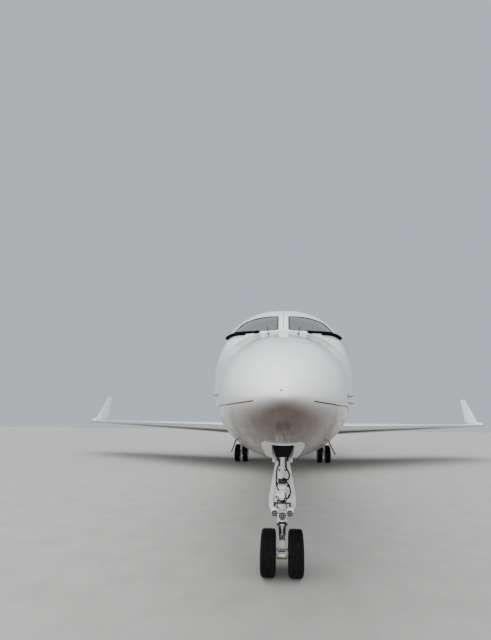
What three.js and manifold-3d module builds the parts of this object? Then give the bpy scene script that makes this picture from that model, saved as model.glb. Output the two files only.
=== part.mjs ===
// Business jet parked on its landing gear, in millimetres.
// +X is the port side, +Y runs from the nose to the tail, +Z is up, and the floor is at z = 0.
import * as THREE from 'three';
import { mergeVertices } from 'three/addons/utils/BufferGeometryUtils.js';
import Module from 'manifold-3d';

const wasm = await Module();
wasm.setup();

// Driving dimensions of the whole aeroplane
const NOSE_Y = -13450;
const TAIL_Y = 13450;
const BODY_RADIUS = 1195;
const BODY_CENTRE_Z = 2400;
const WALL = 80;
const SEAT_GAP = 0.3;
const MOVING_GAP = 8;
const RUDDER_FOOT_GAP = 32;
const RING_POINTS = 32;
const ROD_SIDES = 12;
const PIN_CLEARANCE = 0.35;

// Stations where the fuselage is split
const RADOME_END_Y = -12150;
const CABIN_START_Y = -9650;
const CABIN_END_Y = 3000;
const COCKPIT_FRONT_Y = -11950;
const AFT_HOLLOW_END_Y = 10600;
const AFT_WALL = 60;

// Floor of the cockpit and cabin
const FLOOR_TOP_Z = 1640;
const FLOOR_THICKNESS = 60;
const FLOOR_HALF_WIDTH = 750;
const FLOOR_UNDERSIDE_Z = FLOOR_TOP_Z - FLOOR_THICKNESS;

// Entry door on the port side
const DOOR_Y = [-9500, -8620];
const DOOR_ANGLES = [-38, 50];
const DOOR_STEPS = 5;
const DOOR_HINGE = { tube: 14, relief: 20, pin: 8, lug: 22, lugLength: 50 };

// Cabin windows, six on each side
const WINDOW_COUNT = 6;
const FIRST_WINDOW_Y = -7300;
const WINDOW_PITCH = 1300;
const WINDOW_HALF_LENGTH = 320;
const WINDOW_HALF_HEIGHT = 235;
const WINDOW_Z = 2680;

// Wing
const WING_ROOT_X = 1200;
const WING_TIP_X = 11560;
const WING_ROOT_LE_Y = -3200;
const WING_ROOT_TE_Y = 2100;
const WING_LE_SLOPE = Math.tan(THREE.MathUtils.degToRad(30.5));
const WING_TE_SLOPE = Math.tan(THREE.MathUtils.degToRad(14.3));
const WING_ROOT_Z = 1690;
const WING_DIHEDRAL = Math.tan(THREE.MathUtils.degToRad(1.55));
const WING_INNER_X = 900;
const FLAP_X = [1650, 7900];
const AILERON_X = [8200, 11200];
const HINGE_CHORD = 0.76;

// Winglet
const WINGLET_ROOT = { x: 11620, y: 3400, z: 1950, chord: 1290 };
const WINGLET_TIP = { x: 11820, y: 4980, z: 3650, chord: 430 };

// Tail
const FIN_TOP_Z = 7150;
const TAILPLANE_HALF_SPAN = 4870;
const TAILPLANE_ROOT = { y: 10000, chord: 2700, thickness: 0.1 };
const TAILPLANE_TIP = { y: TAIL_Y - 1150, chord: 1150, thickness: 0.09 };
const ELEVATOR_X = [480, 4600];
const RUDDER_Z = [3720, 6860];
const FIN_HINGE_CHORD = 0.71;
const TAILPLANE_HINGE_CHORD = 0.68;
const BULLET_SIDES = 16;

// Engines
const ENGINE_X = 2120;
const ENGINE_Z = 2950;
const FAN_Y = 3650;
const FAN_RADIUS = 555;
const FAN_BLADES = 18;
const DUCT_RADIUS = 567;
const DUCT_SIDES = 28;
const GUIDE_VANES = 7;
const HUB_SIDES = 16;
const HUB_BORE_END = 60;

// Landing gear
const NOSE_GEAR_Y = -10850;
const NOSE_TYRE = { radius: 267, width: 184, rim: 130, offset: 168 };
const MAIN_GEAR_X = 2085;
const MAIN_GEAR_Y = 760;
const MAIN_GEAR_ROOF_Z = 1640;
const MAIN_TYRE = { radius: 432, width: 235, rim: 215, offset: 202 };
const WHEEL_SIDES = 24;

// Fuselage stations: distance aft of the nose, centre height, half width, top height, bottom height
// and the upper half's exponent: 1 makes it elliptical, and less gives it fuller shoulders
const NOSE_STATIONS = [
  [0, 1950, 6, 1956, 1944, 1],
  [60, 1955, 108, 2050, 1880, 1],
  [250, 1985, 245, 2190, 1805, 1],
  [600, 2040, 395, 2380, 1720, 0.98],
  [1300, 2135, 590, 2640, 1590, 0.94],
  [2050, 2230, 785, 2905, 1480, 0.89],
  [2450, 2280, 890, 3250, 1430, 0.86],
  [2850, 2330, 985, 3490, 1378, 0.86],
  [3300, 2365, 1080, 3580, 1320, 0.88],
  [3800, 2390, 1155, 3590, 1258, 0.93],
  [4500, 2400, BODY_RADIUS, 3595, 1205, 1],
];
const TAIL_STATIONS = [
  [16450, 2400, BODY_RADIUS, 3595, 1205, 1],
  [18050, 2410, 1190, 3595, 1230, 1],
  [19950, 2500, 1090, 3595, 1420, 1],
  [21950, 2680, 880, 3570, 1780, 1],
  [23650, 2900, 600, 3470, 2300, 1],
  [24750, 3040, 330, 3350, 2730, 1],
];
const BODY_STATIONS = [...NOSE_STATIONS, ...TAIL_STATIONS];

// Belly fairing stations: y, half width, top height, bottom height
const FAIRING_STATIONS = [
  [-4700, 500, 1500, 1190],
  [-4000, 980, 1760, 1110],
  [-3000, 1270, 1960, 1045],
  [2300, 1290, 1960, 1045],
  [3400, 1050, 1760, 1100],
  [4400, 560, 1500, 1200],
];

// Colours, roughness and metalness of the finishes
const PAINT = { color: 0xf4f5f3, roughness: 0.16, metalness: 0 };
const GLASS = { color: 0xb9c2c8, roughness: 0.06, metalness: 0 };
const CABIN_GLASS = { color: 0x2b3238, roughness: 0.08, metalness: 0 };
const BARE_METAL = { color: 0xc3c6c9, roughness: 0.25, metalness: 1 };
const GEAR_PAINT = { color: 0xe3e4e0, roughness: 0.4, metalness: 0 };
const RUBBER = { color: 0x1c1c1d, roughness: 0.85, metalness: 0 };
const TRIM = { color: 0xd8d0c2, roughness: 0.7, metalness: 0 };
const DARK_TRIM = { color: 0x2a2b2e, roughness: 0.8, metalness: 0 };
const LEATHER = { color: 0xc9b79c, roughness: 0.6, metalness: 0 };

const jet = new THREE.Group();

// A solid from a closed mesh, turned over if its faces point in
function toSolid(geometry) {
  const bare = geometry.clone();
  bare.deleteAttribute('normal');
  bare.deleteAttribute('uv');
  const merged = mergeVertices(bare, 1e-4);
  const vertProperties = new Float32Array(merged.attributes.position.array);
  const triVerts = new Uint32Array(merged.index.array);
  const solid = new wasm.Manifold(new wasm.Mesh({ numProp: 3, vertProperties, triVerts }));
  if (solid.volume() > 0) return solid;
  triVerts.forEach((_, i) => {
    if (i % 3 === 2) [triVerts[i - 1], triVerts[i]] = [triVerts[i], triVerts[i - 1]];
  });
  return new wasm.Manifold(new wasm.Mesh({ numProp: 3, vertProperties, triVerts }));
}

function toGeometry(solid) {
  const mesh = solid.getMesh();
  const geometry = new THREE.BufferGeometry();
  geometry.setAttribute('position', new THREE.BufferAttribute(new Float32Array(mesh.vertProperties), 3));
  geometry.setIndex(new THREE.BufferAttribute(new Uint32Array(mesh.triVerts), 1));
  geometry.computeVertexNormals();
  return geometry;
}

function largestPart(solid) {
  const pieces = solid.decompose();
  return pieces.reduce((best, piece) => (piece.volume() > best.volume() ? piece : best));
}

function union(solids) {
  return solids.reduce((whole, next) => whole.add(next));
}

// One named mesh of the aeroplane
function addPiece(name, solid, finish, position = [0, 0, 0]) {
  const mesh = new THREE.Mesh(toGeometry(solid), new THREE.MeshStandardMaterial(finish));
  mesh.name = name;
  mesh.position.set(...position);
  jet.add(mesh);
}

// A pair of pieces, the starboard one mirrored from the port one
function addPair(name, solid, finish, position = [0, 0, 0]) {
  const [x, y, z] = position;
  addPiece(`${name}_port`, solid, finish, position);
  addPiece(`${name}_starboard`, mirrored(solid), finish, [-x, y, z]);
}

function mirrored(solid) {
  return solid.scale([-1, 1, 1]);
}

// Basic shapes in the aeroplane's frame
function block(xs, ys, zs) {
  const geometry = new THREE.BoxGeometry(xs[1] - xs[0], ys[1] - ys[0], zs[1] - zs[0]);
  geometry.translate((xs[0] + xs[1]) / 2, (ys[0] + ys[1]) / 2, (zs[0] + zs[1]) / 2);
  return toSolid(geometry);
}

function rod(from, to, radiusFrom, radiusTo = radiusFrom, sides = ROD_SIDES) {
  const start = new THREE.Vector3(...from);
  const end = new THREE.Vector3(...to);
  const along = end.clone().sub(start);
  const geometry = new THREE.CylinderGeometry(radiusTo, radiusFrom, along.length(), sides);
  const turn = new THREE.Quaternion().setFromUnitVectors(new THREE.Vector3(0, 1, 0), along.normalize());
  geometry.applyQuaternion(turn);
  geometry.translate(...start.add(end).multiplyScalar(0.5).toArray());
  return toSolid(geometry);
}

// Pins and their bores: enough sides that a turning pin stays close to its seat
function pinSides(radius) {
  if (radius < 16) return 12;
  return radius < 32 ? 16 : 24;
}

function pin(from, to, radius) {
  return rod(from, to, radius, radius, pinSides(radius));
}

function pinBore(from, to, radius) {
  const sides = pinSides(radius);
  const bore = (radius + PIN_CLEARANCE) / Math.cos(Math.PI / sides);
  return rod(from, to, bore, bore, sides);
}

// A profile of (radius, distance) points turned about the Y axis
function turned(profile, sides) {
  const points = profile.map(([radius, distance]) => new THREE.Vector2(radius, distance));
  return toSolid(new THREE.LatheGeometry(points, sides));
}

// A wheel's profile turned about the X axis, with a flat side down
function turnedWheel(profile) {
  const points = profile.map(([radius, distance]) => new THREE.Vector2(radius, distance));
  const geometry = new THREE.LatheGeometry(points, WHEEL_SIDES, Math.PI / WHEEL_SIDES);
  geometry.rotateZ(-Math.PI / 2);
  return toSolid(geometry);
}

// An outline given as (y, z) points, from x = low to x = high
function sidePrism(outline, low, high) {
  const shape = new THREE.Shape(outline.map(([y, z]) => new THREE.Vector2(y, z)));
  const geometry = new THREE.ExtrudeGeometry(shape, { depth: high - low, bevelEnabled: false });
  geometry.applyMatrix4(new THREE.Matrix4().set(0, 0, 1, low, 1, 0, 0, 0, 0, 1, 0, 0, 0, 0, 0, 1));
  return toSolid(geometry);
}

// An outline given as (x, z) points, from y = low to y = high
function frontPrism(outline, low, high) {
  const shape = new THREE.Shape(outline.map(([x, z]) => new THREE.Vector2(x, z)));
  const geometry = new THREE.ExtrudeGeometry(shape, { depth: high - low, bevelEnabled: false });
  geometry.applyMatrix4(new THREE.Matrix4().set(1, 0, 0, 0, 0, 0, -1, high, 0, 1, 0, 0, 0, 0, 0, 1));
  return toSolid(geometry);
}

// An outline given as (x, y) points, from z = low to z = high
function planPrism(outline, low, high) {
  const shape = new THREE.Shape(outline.map(([x, y]) => new THREE.Vector2(x, y)));
  const geometry = new THREE.ExtrudeGeometry(shape, { depth: high - low, bevelEnabled: false });
  geometry.translate(0, 0, low);
  return toSolid(geometry);
}

// A closed skin through rings that all have the same number of points.
// The two halves of a ring are cut along opposite diagonals, so that thin twisted sections stay sound.
function loft(rings) {
  const count = rings[0].length;
  const positions = rings.flat(2);
  const index = [];
  for (let ring = 0; ring < rings.length - 1; ring += 1) {
    for (let i = 0; i < count; i += 1) {
      const a = ring * count + i;
      const b = ring * count + ((i + 1) % count);
      if (i < count / 2) index.push(a, b, b + count, a, b + count, a + count);
      else index.push(a, b, a + count, b, b + count, a + count);
    }
  }
  for (const ring of [0, rings.length - 1]) {
    const centre = positions.length / 3;
    const sum = rings[ring].reduce((s, p) => [s[0] + p[0], s[1] + p[1], s[2] + p[2]], [0, 0, 0]);
    positions.push(sum[0] / count, sum[1] / count, sum[2] / count);
    for (let i = 0; i < count; i += 1) {
      const a = ring * count + i;
      const b = ring * count + ((i + 1) % count);
      index.push(...(ring === 0 ? [b, a, centre] : [a, b, centre]));
    }
  }
  const geometry = new THREE.BufferGeometry();
  geometry.setAttribute('position', new THREE.BufferAttribute(new Float32Array(positions), 3));
  geometry.setIndex(index);
  return toSolid(geometry);
}

// Fuselage sections: a full-shouldered half above the centre height and a half ellipse below it
function bodyRing([aft, centreZ, halfWidth, topZ, bottomZ, exponent], grow) {
  const ring = [];
  for (let i = 0; i < RING_POINTS; i += 1) {
    const angle = Math.PI / 2 + (2 * Math.PI * i) / RING_POINTS;
    const upper = Math.sin(angle) >= 0;
    const rise = upper ? topZ - centreZ + grow : centreZ - bottomZ + grow;
    const power = upper ? exponent : 1;
    const across = Math.sign(Math.cos(angle)) * Math.abs(Math.cos(angle)) ** power;
    const up = Math.sign(Math.sin(angle)) * Math.abs(Math.sin(angle)) ** power;
    ring.push([across * Math.max(halfWidth + grow, 2), NOSE_Y + aft, centreZ + up * Math.max(rise, 2)]);
  }
  return ring;
}

function stationAt(aft) {
  const next = BODY_STATIONS.findIndex((station) => station[0] >= aft);
  const [a, b] = [BODY_STATIONS[next - 1], BODY_STATIONS[next]];
  const t = (aft - a[0]) / (b[0] - a[0]);
  return a.map((value, column) => value + (b[column] - value) * t);
}

// The fuselage between two values of y, grown or shrunk all round
function bodyBetween(startY, endY, grow = 0) {
  const [start, end] = [startY - NOSE_Y, endY - NOSE_Y];
  const inside = BODY_STATIONS.filter(([aft]) => aft > start && aft < end);
  const first = start <= 0 ? BODY_STATIONS[0] : stationAt(start);
  const stations = [first, ...inside, stationAt(end)];
  return loft(stations.map((station) => bodyRing(station, grow)));
}

// Lifting surfaces: chord fraction and share of the full half thickness
const AIRFOIL = [
  [0.015, 0.32],
  [0.06, 0.6],
  [0.16, 0.88],
  [0.36, 1],
  [0.6, 0.82],
  [0.82, 0.42],
];
const TRAILING_EDGE = 5;
const HINGE_PIN = { radius: 12, anchor: 60, reach: 50 };

// One section as (distance aft, offset across) points
function airfoilPoints(chord, thickness, grow) {
  const half = (chord * thickness) / 2;
  const upper = AIRFOIL.map(([fraction, share]) => [fraction * chord, share * half + grow]);
  const lower = upper.map(([aft, across]) => [aft, -across]).reverse();
  return [
    [-grow, 0],
    ...upper,
    [chord + grow, TRAILING_EDGE + grow],
    [chord + grow, -TRAILING_EDGE - grow],
    ...lower,
  ];
}

// Sections stacked along X, as on a wing, or along Z, as on a fin
function spanwiseLoft(sections, grow = 0) {
  return loft(sections.map(({ x, y, z, chord, thickness }) =>
    airfoilPoints(chord, thickness, grow).map(([aft, across]) => [x, y + aft, z + across])));
}

function uprightLoft(sections, grow = 0) {
  return loft(sections.map(({ x, y, z, chord, thickness }) =>
    airfoilPoints(chord, thickness, grow).map(([aft, across]) => [x + across, y + aft, z])));
}

// Splits a movable surface from its fixed part along a hinge line.
// The movable part gets a round nose about the hinge; its ends are square to the hinge.
// The space is what the fixed part gives up to it, with the running gap.
// The fixed part's pins reach into bores at both ends of the movable part.
// A foot gap keeps the first end parallel to the Y axis, as at a rudder's foot, whose corners dip
// when the rudder turns about its raked hinge and so need that much room.
function splitAtHinge(whole, hinge, prism, footGap = 0) {
  const [from, to] = hinge;
  const a = new THREE.Vector3(...from.point);
  const b = new THREE.Vector3(...to.point);
  const along = b.clone().sub(a).normalize();
  const aft = new THREE.Vector3(0, 1, 0);
  aft.sub(along.clone().multiplyScalar(aft.dot(along))).normalize();
  const reach = (grow, startGrow = grow) => {
    const start = a.clone().addScaledVector(along, -startGrow);
    const end = b.clone().addScaledVector(along, grow);
    const far = 3000;
    const startEdge = footGap > 0 ? new THREE.Vector3(0, 1, 0) : aft;
    const farStart = start.clone().addScaledVector(startEdge, far);
    const corners = [start, end, end.clone().addScaledVector(aft, far), farStart];
    const nose = rod(start.toArray(), end.toArray(), from.radius + grow, to.radius + grow, 16);
    return prism(corners).add(nose);
  };
  const onAxis = (origin, distance) => origin.clone().addScaledVector(along, distance).toArray();
  const ends = [[a, 1], [b, -1]].map(([origin, inward]) => ({
    outer: onAxis(origin, -inward * HINGE_PIN.anchor),
    inner: onAxis(origin, inward * HINGE_PIN.reach),
    bottom: onAxis(origin, inward * (HINGE_PIN.reach + 2)),
  }));
  const pins = union(ends.map((end) => pin(end.outer, end.inner, HINGE_PIN.radius)));
  const bores = union(ends.map((end) => pinBore(end.outer, end.bottom, HINGE_PIN.radius)));
  const moving = largestPart(whole.intersect(reach(0)).subtract(bores));
  return { moving, space: reach(MOVING_GAP, Math.max(MOVING_GAP, footGap)), pins };
}

// Wing
function wingSection(x) {
  const y = WING_ROOT_LE_Y + (x - WING_ROOT_X) * WING_LE_SLOPE;
  const trailing = WING_ROOT_TE_Y + (x - WING_ROOT_X) * WING_TE_SLOPE;
  const share = (x - WING_ROOT_X) / (WING_TIP_X - WING_ROOT_X);
  const z = WING_ROOT_Z + (x - WING_ROOT_X) * WING_DIHEDRAL;
  return { x, y, z, chord: trailing - y, thickness: 0.105 - 0.02 * share };
}

function sectionShareAt(fraction) {
  const next = AIRFOIL.findIndex(([f]) => f >= fraction);
  const [a, b] = [AIRFOIL[next - 1], AIRFOIL[next]];
  return a[1] + ((b[1] - a[1]) * (fraction - a[0])) / (b[0] - a[0]);
}

function hingePoint(section, fraction) {
  const radius = ((section.chord * section.thickness) / 2) * sectionShareAt(fraction);
  return { point: [section.x, section.y + section.chord * fraction, section.z], radius };
}

function planPrismFrom(corners) {
  const heights = corners.map((corner) => corner.z);
  const low = Math.min(...heights) - 600;
  const high = Math.max(...heights) + 600;
  return planPrism(corners.map((corner) => [corner.x, corner.y]), low, high);
}

function sidePrismFrom(corners) {
  return sidePrism(corners.map((corner) => [corner.y, corner.z]), -600, 600);
}

function fairingRing([y, halfWidth, topZ, bottomZ], grow) {
  const ring = [];
  const centreZ = (topZ + bottomZ) / 2;
  const halfHeight = (topZ - bottomZ) / 2;
  for (let i = 0; i < RING_POINTS; i += 1) {
    const angle = Math.PI / 2 + (2 * Math.PI * i) / RING_POINTS;
    const x = Math.sign(Math.cos(angle)) * Math.abs(Math.cos(angle)) ** 0.6 * (halfWidth + grow);
    const z = Math.sign(Math.sin(angle)) * Math.abs(Math.sin(angle)) ** 0.6 * (halfHeight + grow);
    ring.push([x, y, centreZ + z]);
  }
  return ring;
}

function fairingSolid(grow = 0) {
  return loft(FAIRING_STATIONS.map((station) => fairingRing(station, grow)));
}

function buildWings() {
  const whole = spanwiseLoft([wingSection(WING_INNER_X), wingSection(WING_TIP_X)]);
  const bodySpace = bodyBetween(-6000, 6000, SEAT_GAP).add(fairingSolid(SEAT_GAP));
  const outer = largestPart(whole.subtract(bodySpace));
  const hinge = AILERON_X.map((x) => hingePoint(wingSection(x), HINGE_CHORD));
  const aileron = splitAtHinge(outer, hinge, planPrismFrom);
  const [inner, outerEnd] = FLAP_X.map((x) => hingePoint(wingSection(x), HINGE_CHORD).point);
  const flapPlan = (gap) => planPrism([
    [inner[0] - gap, inner[1] - gap],
    [outerEnd[0] + gap, outerEnd[1] - gap],
    [outerEnd[0] + gap, outerEnd[1] + 3000],
    [inner[0] - gap, inner[1] + 3000],
  ], 1000, 3000);
  const flap = outer.intersect(flapPlan(0));
  const legSlot = block(
    [MAIN_GEAR_X - 900, MAIN_GEAR_X + 130],
    [MAIN_GEAR_Y - 190, MAIN_GEAR_Y + 190],
    [1000, MAIN_GEAR_ROOF_Z],
  );
  const openings = union([aileron.space, flapPlan(SEAT_GAP), legSlot]);
  const fixed = outer.subtract(openings).add(aileron.pins);
  addPair('wing', largestPart(fixed), PAINT);
  addPair('flap', flap, PAINT);
  addPair('aileron', aileron.moving, PAINT);
}

function buildWinglets() {
  const end = wingSection(WING_TIP_X);
  const capRoot = { ...end, x: WING_TIP_X + SEAT_GAP };
  const capEnd = { ...end, x: WING_TIP_X + 100, y: end.y + 110, chord: end.chord - 150, thickness: 0.03 };
  const cap = spanwiseLoft([capRoot, capEnd]);
  const blade = uprightLoft([
    { ...WINGLET_ROOT, thickness: 0.075 },
    { ...WINGLET_TIP, thickness: 0.07 },
  ]);
  const wingSpace = block([0, WING_TIP_X + SEAT_GAP], [0, 8000], [1000, 5000]);
  addPair('winglet', largestPart(cap.add(blade).subtract(wingSpace)), PAINT);
}

// Fuselage
function insideFloor() {
  return block([-2000, 2000], [NOSE_Y, TAIL_Y], [FLOOR_UNDERSIDE_Z - SEAT_GAP, 5000]);
}

// The windshield's outline seen from ahead, port pane: x, z
const WINDSHIELD = [
  [68, 2962],
  [70, 3255],
  [222, 3257],
  [352, 3245],
  [468, 3219],
  [550, 3191],
  [609, 3118],
  [676, 3008],
  [480, 2963],
  [200, 2956],
];
// The side windows' outline seen from the side: y, z
const SIDE_WINDOWS = [
  [-10800, 2800],
  [-10740, 3020],
  [-10480, 3100],
  [-9960, 3135],
  [-9520, 3065],
  [-9470, 2800],
];
const GLASS_THICKNESS = 30;

function windshieldPrism(gap) {
  const grown = WINDSHIELD.map(([x, z]) => {
    const [cx, cz] = [350, 3105];
    const length = Math.hypot(x - cx, z - cz);
    return [x + ((x - cx) / length) * gap, z + ((z - cz) / length) * gap];
  });
  return frontPrism(grown, -11700, -10000);
}

function sideWindowPrism(gap) {
  const grown = SIDE_WINDOWS.map(([y, z]) => {
    const [cy, cz] = [-10000, 2930];
    const length = Math.hypot(y - cy, z - cz);
    return [y + ((y - cy) / length) * gap, z + ((z - cz) / length) * gap];
  });
  return sidePrism(grown, 300, 1500);
}

function buildForwardFuselage() {
  const outer = bodyBetween(RADOME_END_Y + SEAT_GAP, CABIN_START_Y);
  const cavity = bodyBetween(COCKPIT_FRONT_Y, CABIN_START_Y + 100, -WALL).intersect(insideFloor());
  const windshields = windshieldPrism(SEAT_GAP).add(mirrored(windshieldPrism(SEAT_GAP)));
  const sides = sideWindowPrism(SEAT_GAP).add(mirrored(sideWindowPrism(SEAT_GAP)));
  const well = block([-165, 165], [-11230, -10480], [1000, FLOOR_UNDERSIDE_Z - 25]);
  const shell = outer.subtract(cavity).subtract(windshields).subtract(sides).subtract(well);
  addPiece('forward_fuselage', largestPart(shell), PAINT);
  addPiece('radome', bodyBetween(NOSE_Y, RADOME_END_Y), PAINT);
  const inside = bodyBetween(-12100, CABIN_START_Y + 100, -GLASS_THICKNESS);
  const skin = bodyBetween(-12000, CABIN_START_Y).subtract(inside);
  addPair('windshield', largestPart(skin.intersect(windshieldPrism(0))), GLASS);
  addPair('side_windows', largestPart(skin.intersect(sideWindowPrism(0))), GLASS);
}

// A sector seen from ahead, from one angle to another about the fuselage's centre
function sectorPrism(angles, ys, inner = 300, outer = 1600) {
  const points = [];
  const steps = 8;
  for (let i = 0; i <= steps; i += 1) {
    const angle = THREE.MathUtils.degToRad(angles[0] + ((angles[1] - angles[0]) * i) / steps);
    points.push([Math.cos(angle) * outer, BODY_CENTRE_Z + Math.sin(angle) * outer]);
  }
  const [low, high] = angles.map((angle) => THREE.MathUtils.degToRad(angle));
  points.push([Math.cos(high) * inner, BODY_CENTRE_Z + Math.sin(high) * inner]);
  points.push([Math.cos(low) * inner, BODY_CENTRE_Z + Math.sin(low) * inner]);
  return frontPrism(points, ys[0], ys[1]);
}

function windowPrisms(gap) {
  const prisms = [];
  for (let i = 0; i < WINDOW_COUNT; i += 1) {
    const shape = new THREE.Shape();
    shape.absellipse(0, 0, WINDOW_HALF_LENGTH + gap, WINDOW_HALF_HEIGHT + gap, 0, 2 * Math.PI);
    const outline = shape.getPoints(10).slice(0, -1);
    const y = FIRST_WINDOW_Y + i * WINDOW_PITCH;
    prisms.push(sidePrism(outline.map((p) => [y + p.x, WINDOW_Z + p.y]), 600, 1500));
  }
  return union(prisms);
}

function buildCabinFuselage() {
  const outer = bodyBetween(CABIN_START_Y + SEAT_GAP, CABIN_END_Y);
  const cavity = bodyBetween(CABIN_START_Y - 100, CABIN_END_Y - 150, -WALL).intersect(insideFloor());
  const windows = windowPrisms(SEAT_GAP);
  const doorGap = THREE.MathUtils.radToDeg(MOVING_GAP / BODY_RADIUS);
  const doorway = sectorPrism(
    [DOOR_ANGLES[0] - doorGap, DOOR_ANGLES[1] + doorGap],
    [DOOR_Y[0] - MOVING_GAP, DOOR_Y[1] + MOVING_GAP],
  );
  const [doorStart, doorEnd] = [doorHingeAt(DOOR_Y[0] - MOVING_GAP), doorHingeAt(DOOR_Y[1] + MOVING_GAP)];
  const relief = rod(doorStart, doorEnd, DOOR_HINGE.relief);
  const cuts = union([cavity, windows, mirrored(windows), doorway, relief]);
  const shell = outer.subtract(cuts).add(doorLugs(rod, DOOR_HINGE.lug));
  addPiece('cabin_fuselage', largestPart(shell.subtract(doorLugs(pinBore, DOOR_HINGE.pin))), PAINT);
  const ends = [FIRST_WINDOW_Y - 550, FIRST_WINDOW_Y + (WINDOW_COUNT - 1) * WINDOW_PITCH + 550];
  const lining = bodyBetween(ends[0], ends[1], -WALL - SEAT_GAP)
    .subtract(bodyBetween(ends[0] - 10, ends[1] + 10, -WALL - 15))
    .intersect(block([700, 1500], ends, [WINDOW_Z - 330, WINDOW_Z + 330]));
  const panes = bodyBetween(ends[0], ends[1], -12)
    .subtract(bodyBetween(ends[0] - 10, ends[1] + 10, -WALL - 10))
    .intersect(windowPrisms(0));
  addPair('window_line', lining.add(panes), CABIN_GLASS);
}

function buildAftFuselage() {
  const end = NOSE_Y + TAIL_STATIONS.at(-1)[0];
  const nozzle = rod([0, end - 250, 3040], [0, end + 50, 3040], 150, 150, 20);
  const hollow = bodyBetween(CABIN_END_Y - 100, AFT_HOLLOW_END_Y, -AFT_WALL);
  const shell = bodyBetween(CABIN_END_Y + SEAT_GAP, end).subtract(hollow).subtract(nozzle);
  addPiece('aft_fuselage', shell, PAINT);
}

function buildBellyFairing() {
  const fairing = fairingSolid().subtract(bodyBetween(-6000, 6000, SEAT_GAP));
  addPiece('belly_fairing', largestPart(fairing), PAINT);
}

// Entry door: a curved panel with steps on its inner face, hinged along its lower outer edge
function polar(angle, radius) {
  const a = THREE.MathUtils.degToRad(angle);
  return [Math.cos(a) * radius, BODY_CENTRE_Z + Math.sin(a) * radius];
}

// A point on the door's hinge line
function doorHingeAt(y) {
  const [x, z] = polar(DOOR_ANGLES[0], BODY_RADIUS);
  return [x, y, z];
}

// The lugs outside the door's two ends, and the bores for its pins
function doorLugs(make, radius) {
  const [low, high] = [DOOR_Y[0] - MOVING_GAP, DOOR_Y[1] + MOVING_GAP];
  return union([
    make(doorHingeAt(low - DOOR_HINGE.lugLength), doorHingeAt(low), radius),
    make(doorHingeAt(high), doorHingeAt(high + DOOR_HINGE.lugLength), radius),
  ]);
}

function buildEntryDoor() {
  const ring = bodyBetween(DOOR_Y[0], DOOR_Y[1]).subtract(bodyBetween(DOOR_Y[0] - 10, DOOR_Y[1] + 10, -WALL));
  let door = ring.intersect(sectorPrism(DOOR_ANGLES, DOOR_Y));
  const tread = { depth: 190, thickness: 36, inset: 110 };
  for (let i = 0; i < DOOR_STEPS; i += 1) {
    const angle = DOOR_ANGLES[0] + 14 + i * 14.5;
    const [x, z] = polar(angle, BODY_RADIUS - WALL / 2);
    const step = new THREE.BoxGeometry(tread.depth, DOOR_Y[1] - DOOR_Y[0] - 2 * tread.inset, tread.thickness);
    step.translate(-tread.depth / 2, 0, 0);
    step.rotateY(-THREE.MathUtils.degToRad(angle * 0.35));
    step.translate(x, (DOOR_Y[0] + DOOR_Y[1]) / 2, z);
    door = door.add(toSolid(step));
  }
  const tube = rod(doorHingeAt(DOOR_Y[0]), doorHingeAt(DOOR_Y[1]), DOOR_HINGE.tube);
  const pinReach = MOVING_GAP + DOOR_HINGE.lugLength - 5;
  const pins = pin(doorHingeAt(DOOR_Y[0] - pinReach), doorHingeAt(DOOR_Y[1] + pinReach), DOOR_HINGE.pin);
  addPiece('entry_door', union([door, tube, pins]), PAINT);
}

// Cabin floor, partition, panel and seats
function buildInterior() {
  const space = bodyBetween(COCKPIT_FRONT_Y + SEAT_GAP, CABIN_END_Y - 150 - SEAT_GAP, -WALL - SEAT_GAP);
  const halfWidth = FLOOR_HALF_WIDTH;
  const plate = block([-halfWidth, halfWidth], [-11800, 2800], [FLOOR_UNDERSIDE_Z, FLOOR_TOP_Z]);
  addPiece('cabin_floor', plate.intersect(space), TRIM);
  const floorLevel = FLOOR_TOP_Z + SEAT_GAP;
  const panelOutline = [
    [-11940, floorLevel], [-11560, floorLevel], [-11420, 2180], [-11330, 2560],
    [-11200, 2600], [-11200, 2650], [-11480, 2740], [-11940, 2560],
  ];
  const panel = sidePrism(panelOutline, -1000, 1000).intersect(space);
  addPiece('instrument_panel', largestPart(panel), DARK_TRIM);
  const wall = block([-1200, 1200], [-9640, -9600], [floorLevel, 3600]).intersect(space);
  const doorway = block([-300, 300], [-9700, -9500], [1000, 3380]);
  addPiece('cockpit_partition', largestPart(wall.subtract(doorway)), TRIM);
}

// One seat facing forward, with its base on the floor: position of the base's centre
function seatSolid(width) {
  const half = width / 2;
  const base = block([-half + 130, half - 130], [-190, 190], [FLOOR_TOP_Z + SEAT_GAP, 1900]);
  const pan = block([-half + 60, half - 60], [-270, 270], [1880, 2060]);
  const back = sidePrism([[190, 1960], [330, 1960], [460, 2620], [340, 2640]], -half + 70, half - 70);
  const head = sidePrism([[330, 2600], [455, 2590], [480, 2790], [380, 2800]], -140, 140);
  const arms = [-1, 1].map((side) => block(
    [side * half - (side > 0 ? 75 : 0), side * half + (side > 0 ? 0 : 75)], [-210, 260], [1950, 2210],
  ));
  return union([base, pan, back, head, ...arms]);
}

function buildSeats() {
  addPair('pilot_seat', seatSolid(520), LEATHER, [380, -10400, 0]);
  addPair('cabin_seat', seatSolid(600), LEATHER, [520, -6300, 0]);
}

// Tail
function finSections() {
  return [
    { x: 0, y: 5750, z: 3300, chord: 5500, thickness: 0.065 },
    { x: 0, y: 7180, z: 3850, chord: 4230, thickness: 0.09 },
    { x: 0, y: 10050, z: FIN_TOP_Z, chord: 2660, thickness: 0.1 },
  ];
}

function tailplaneSections() {
  const z = FIN_TOP_Z + 20;
  return [
    { ...TAILPLANE_TIP, x: -TAILPLANE_HALF_SPAN, z },
    { ...TAILPLANE_ROOT, x: 0, z },
    { ...TAILPLANE_TIP, x: TAILPLANE_HALF_SPAN, z },
  ];
}

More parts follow.
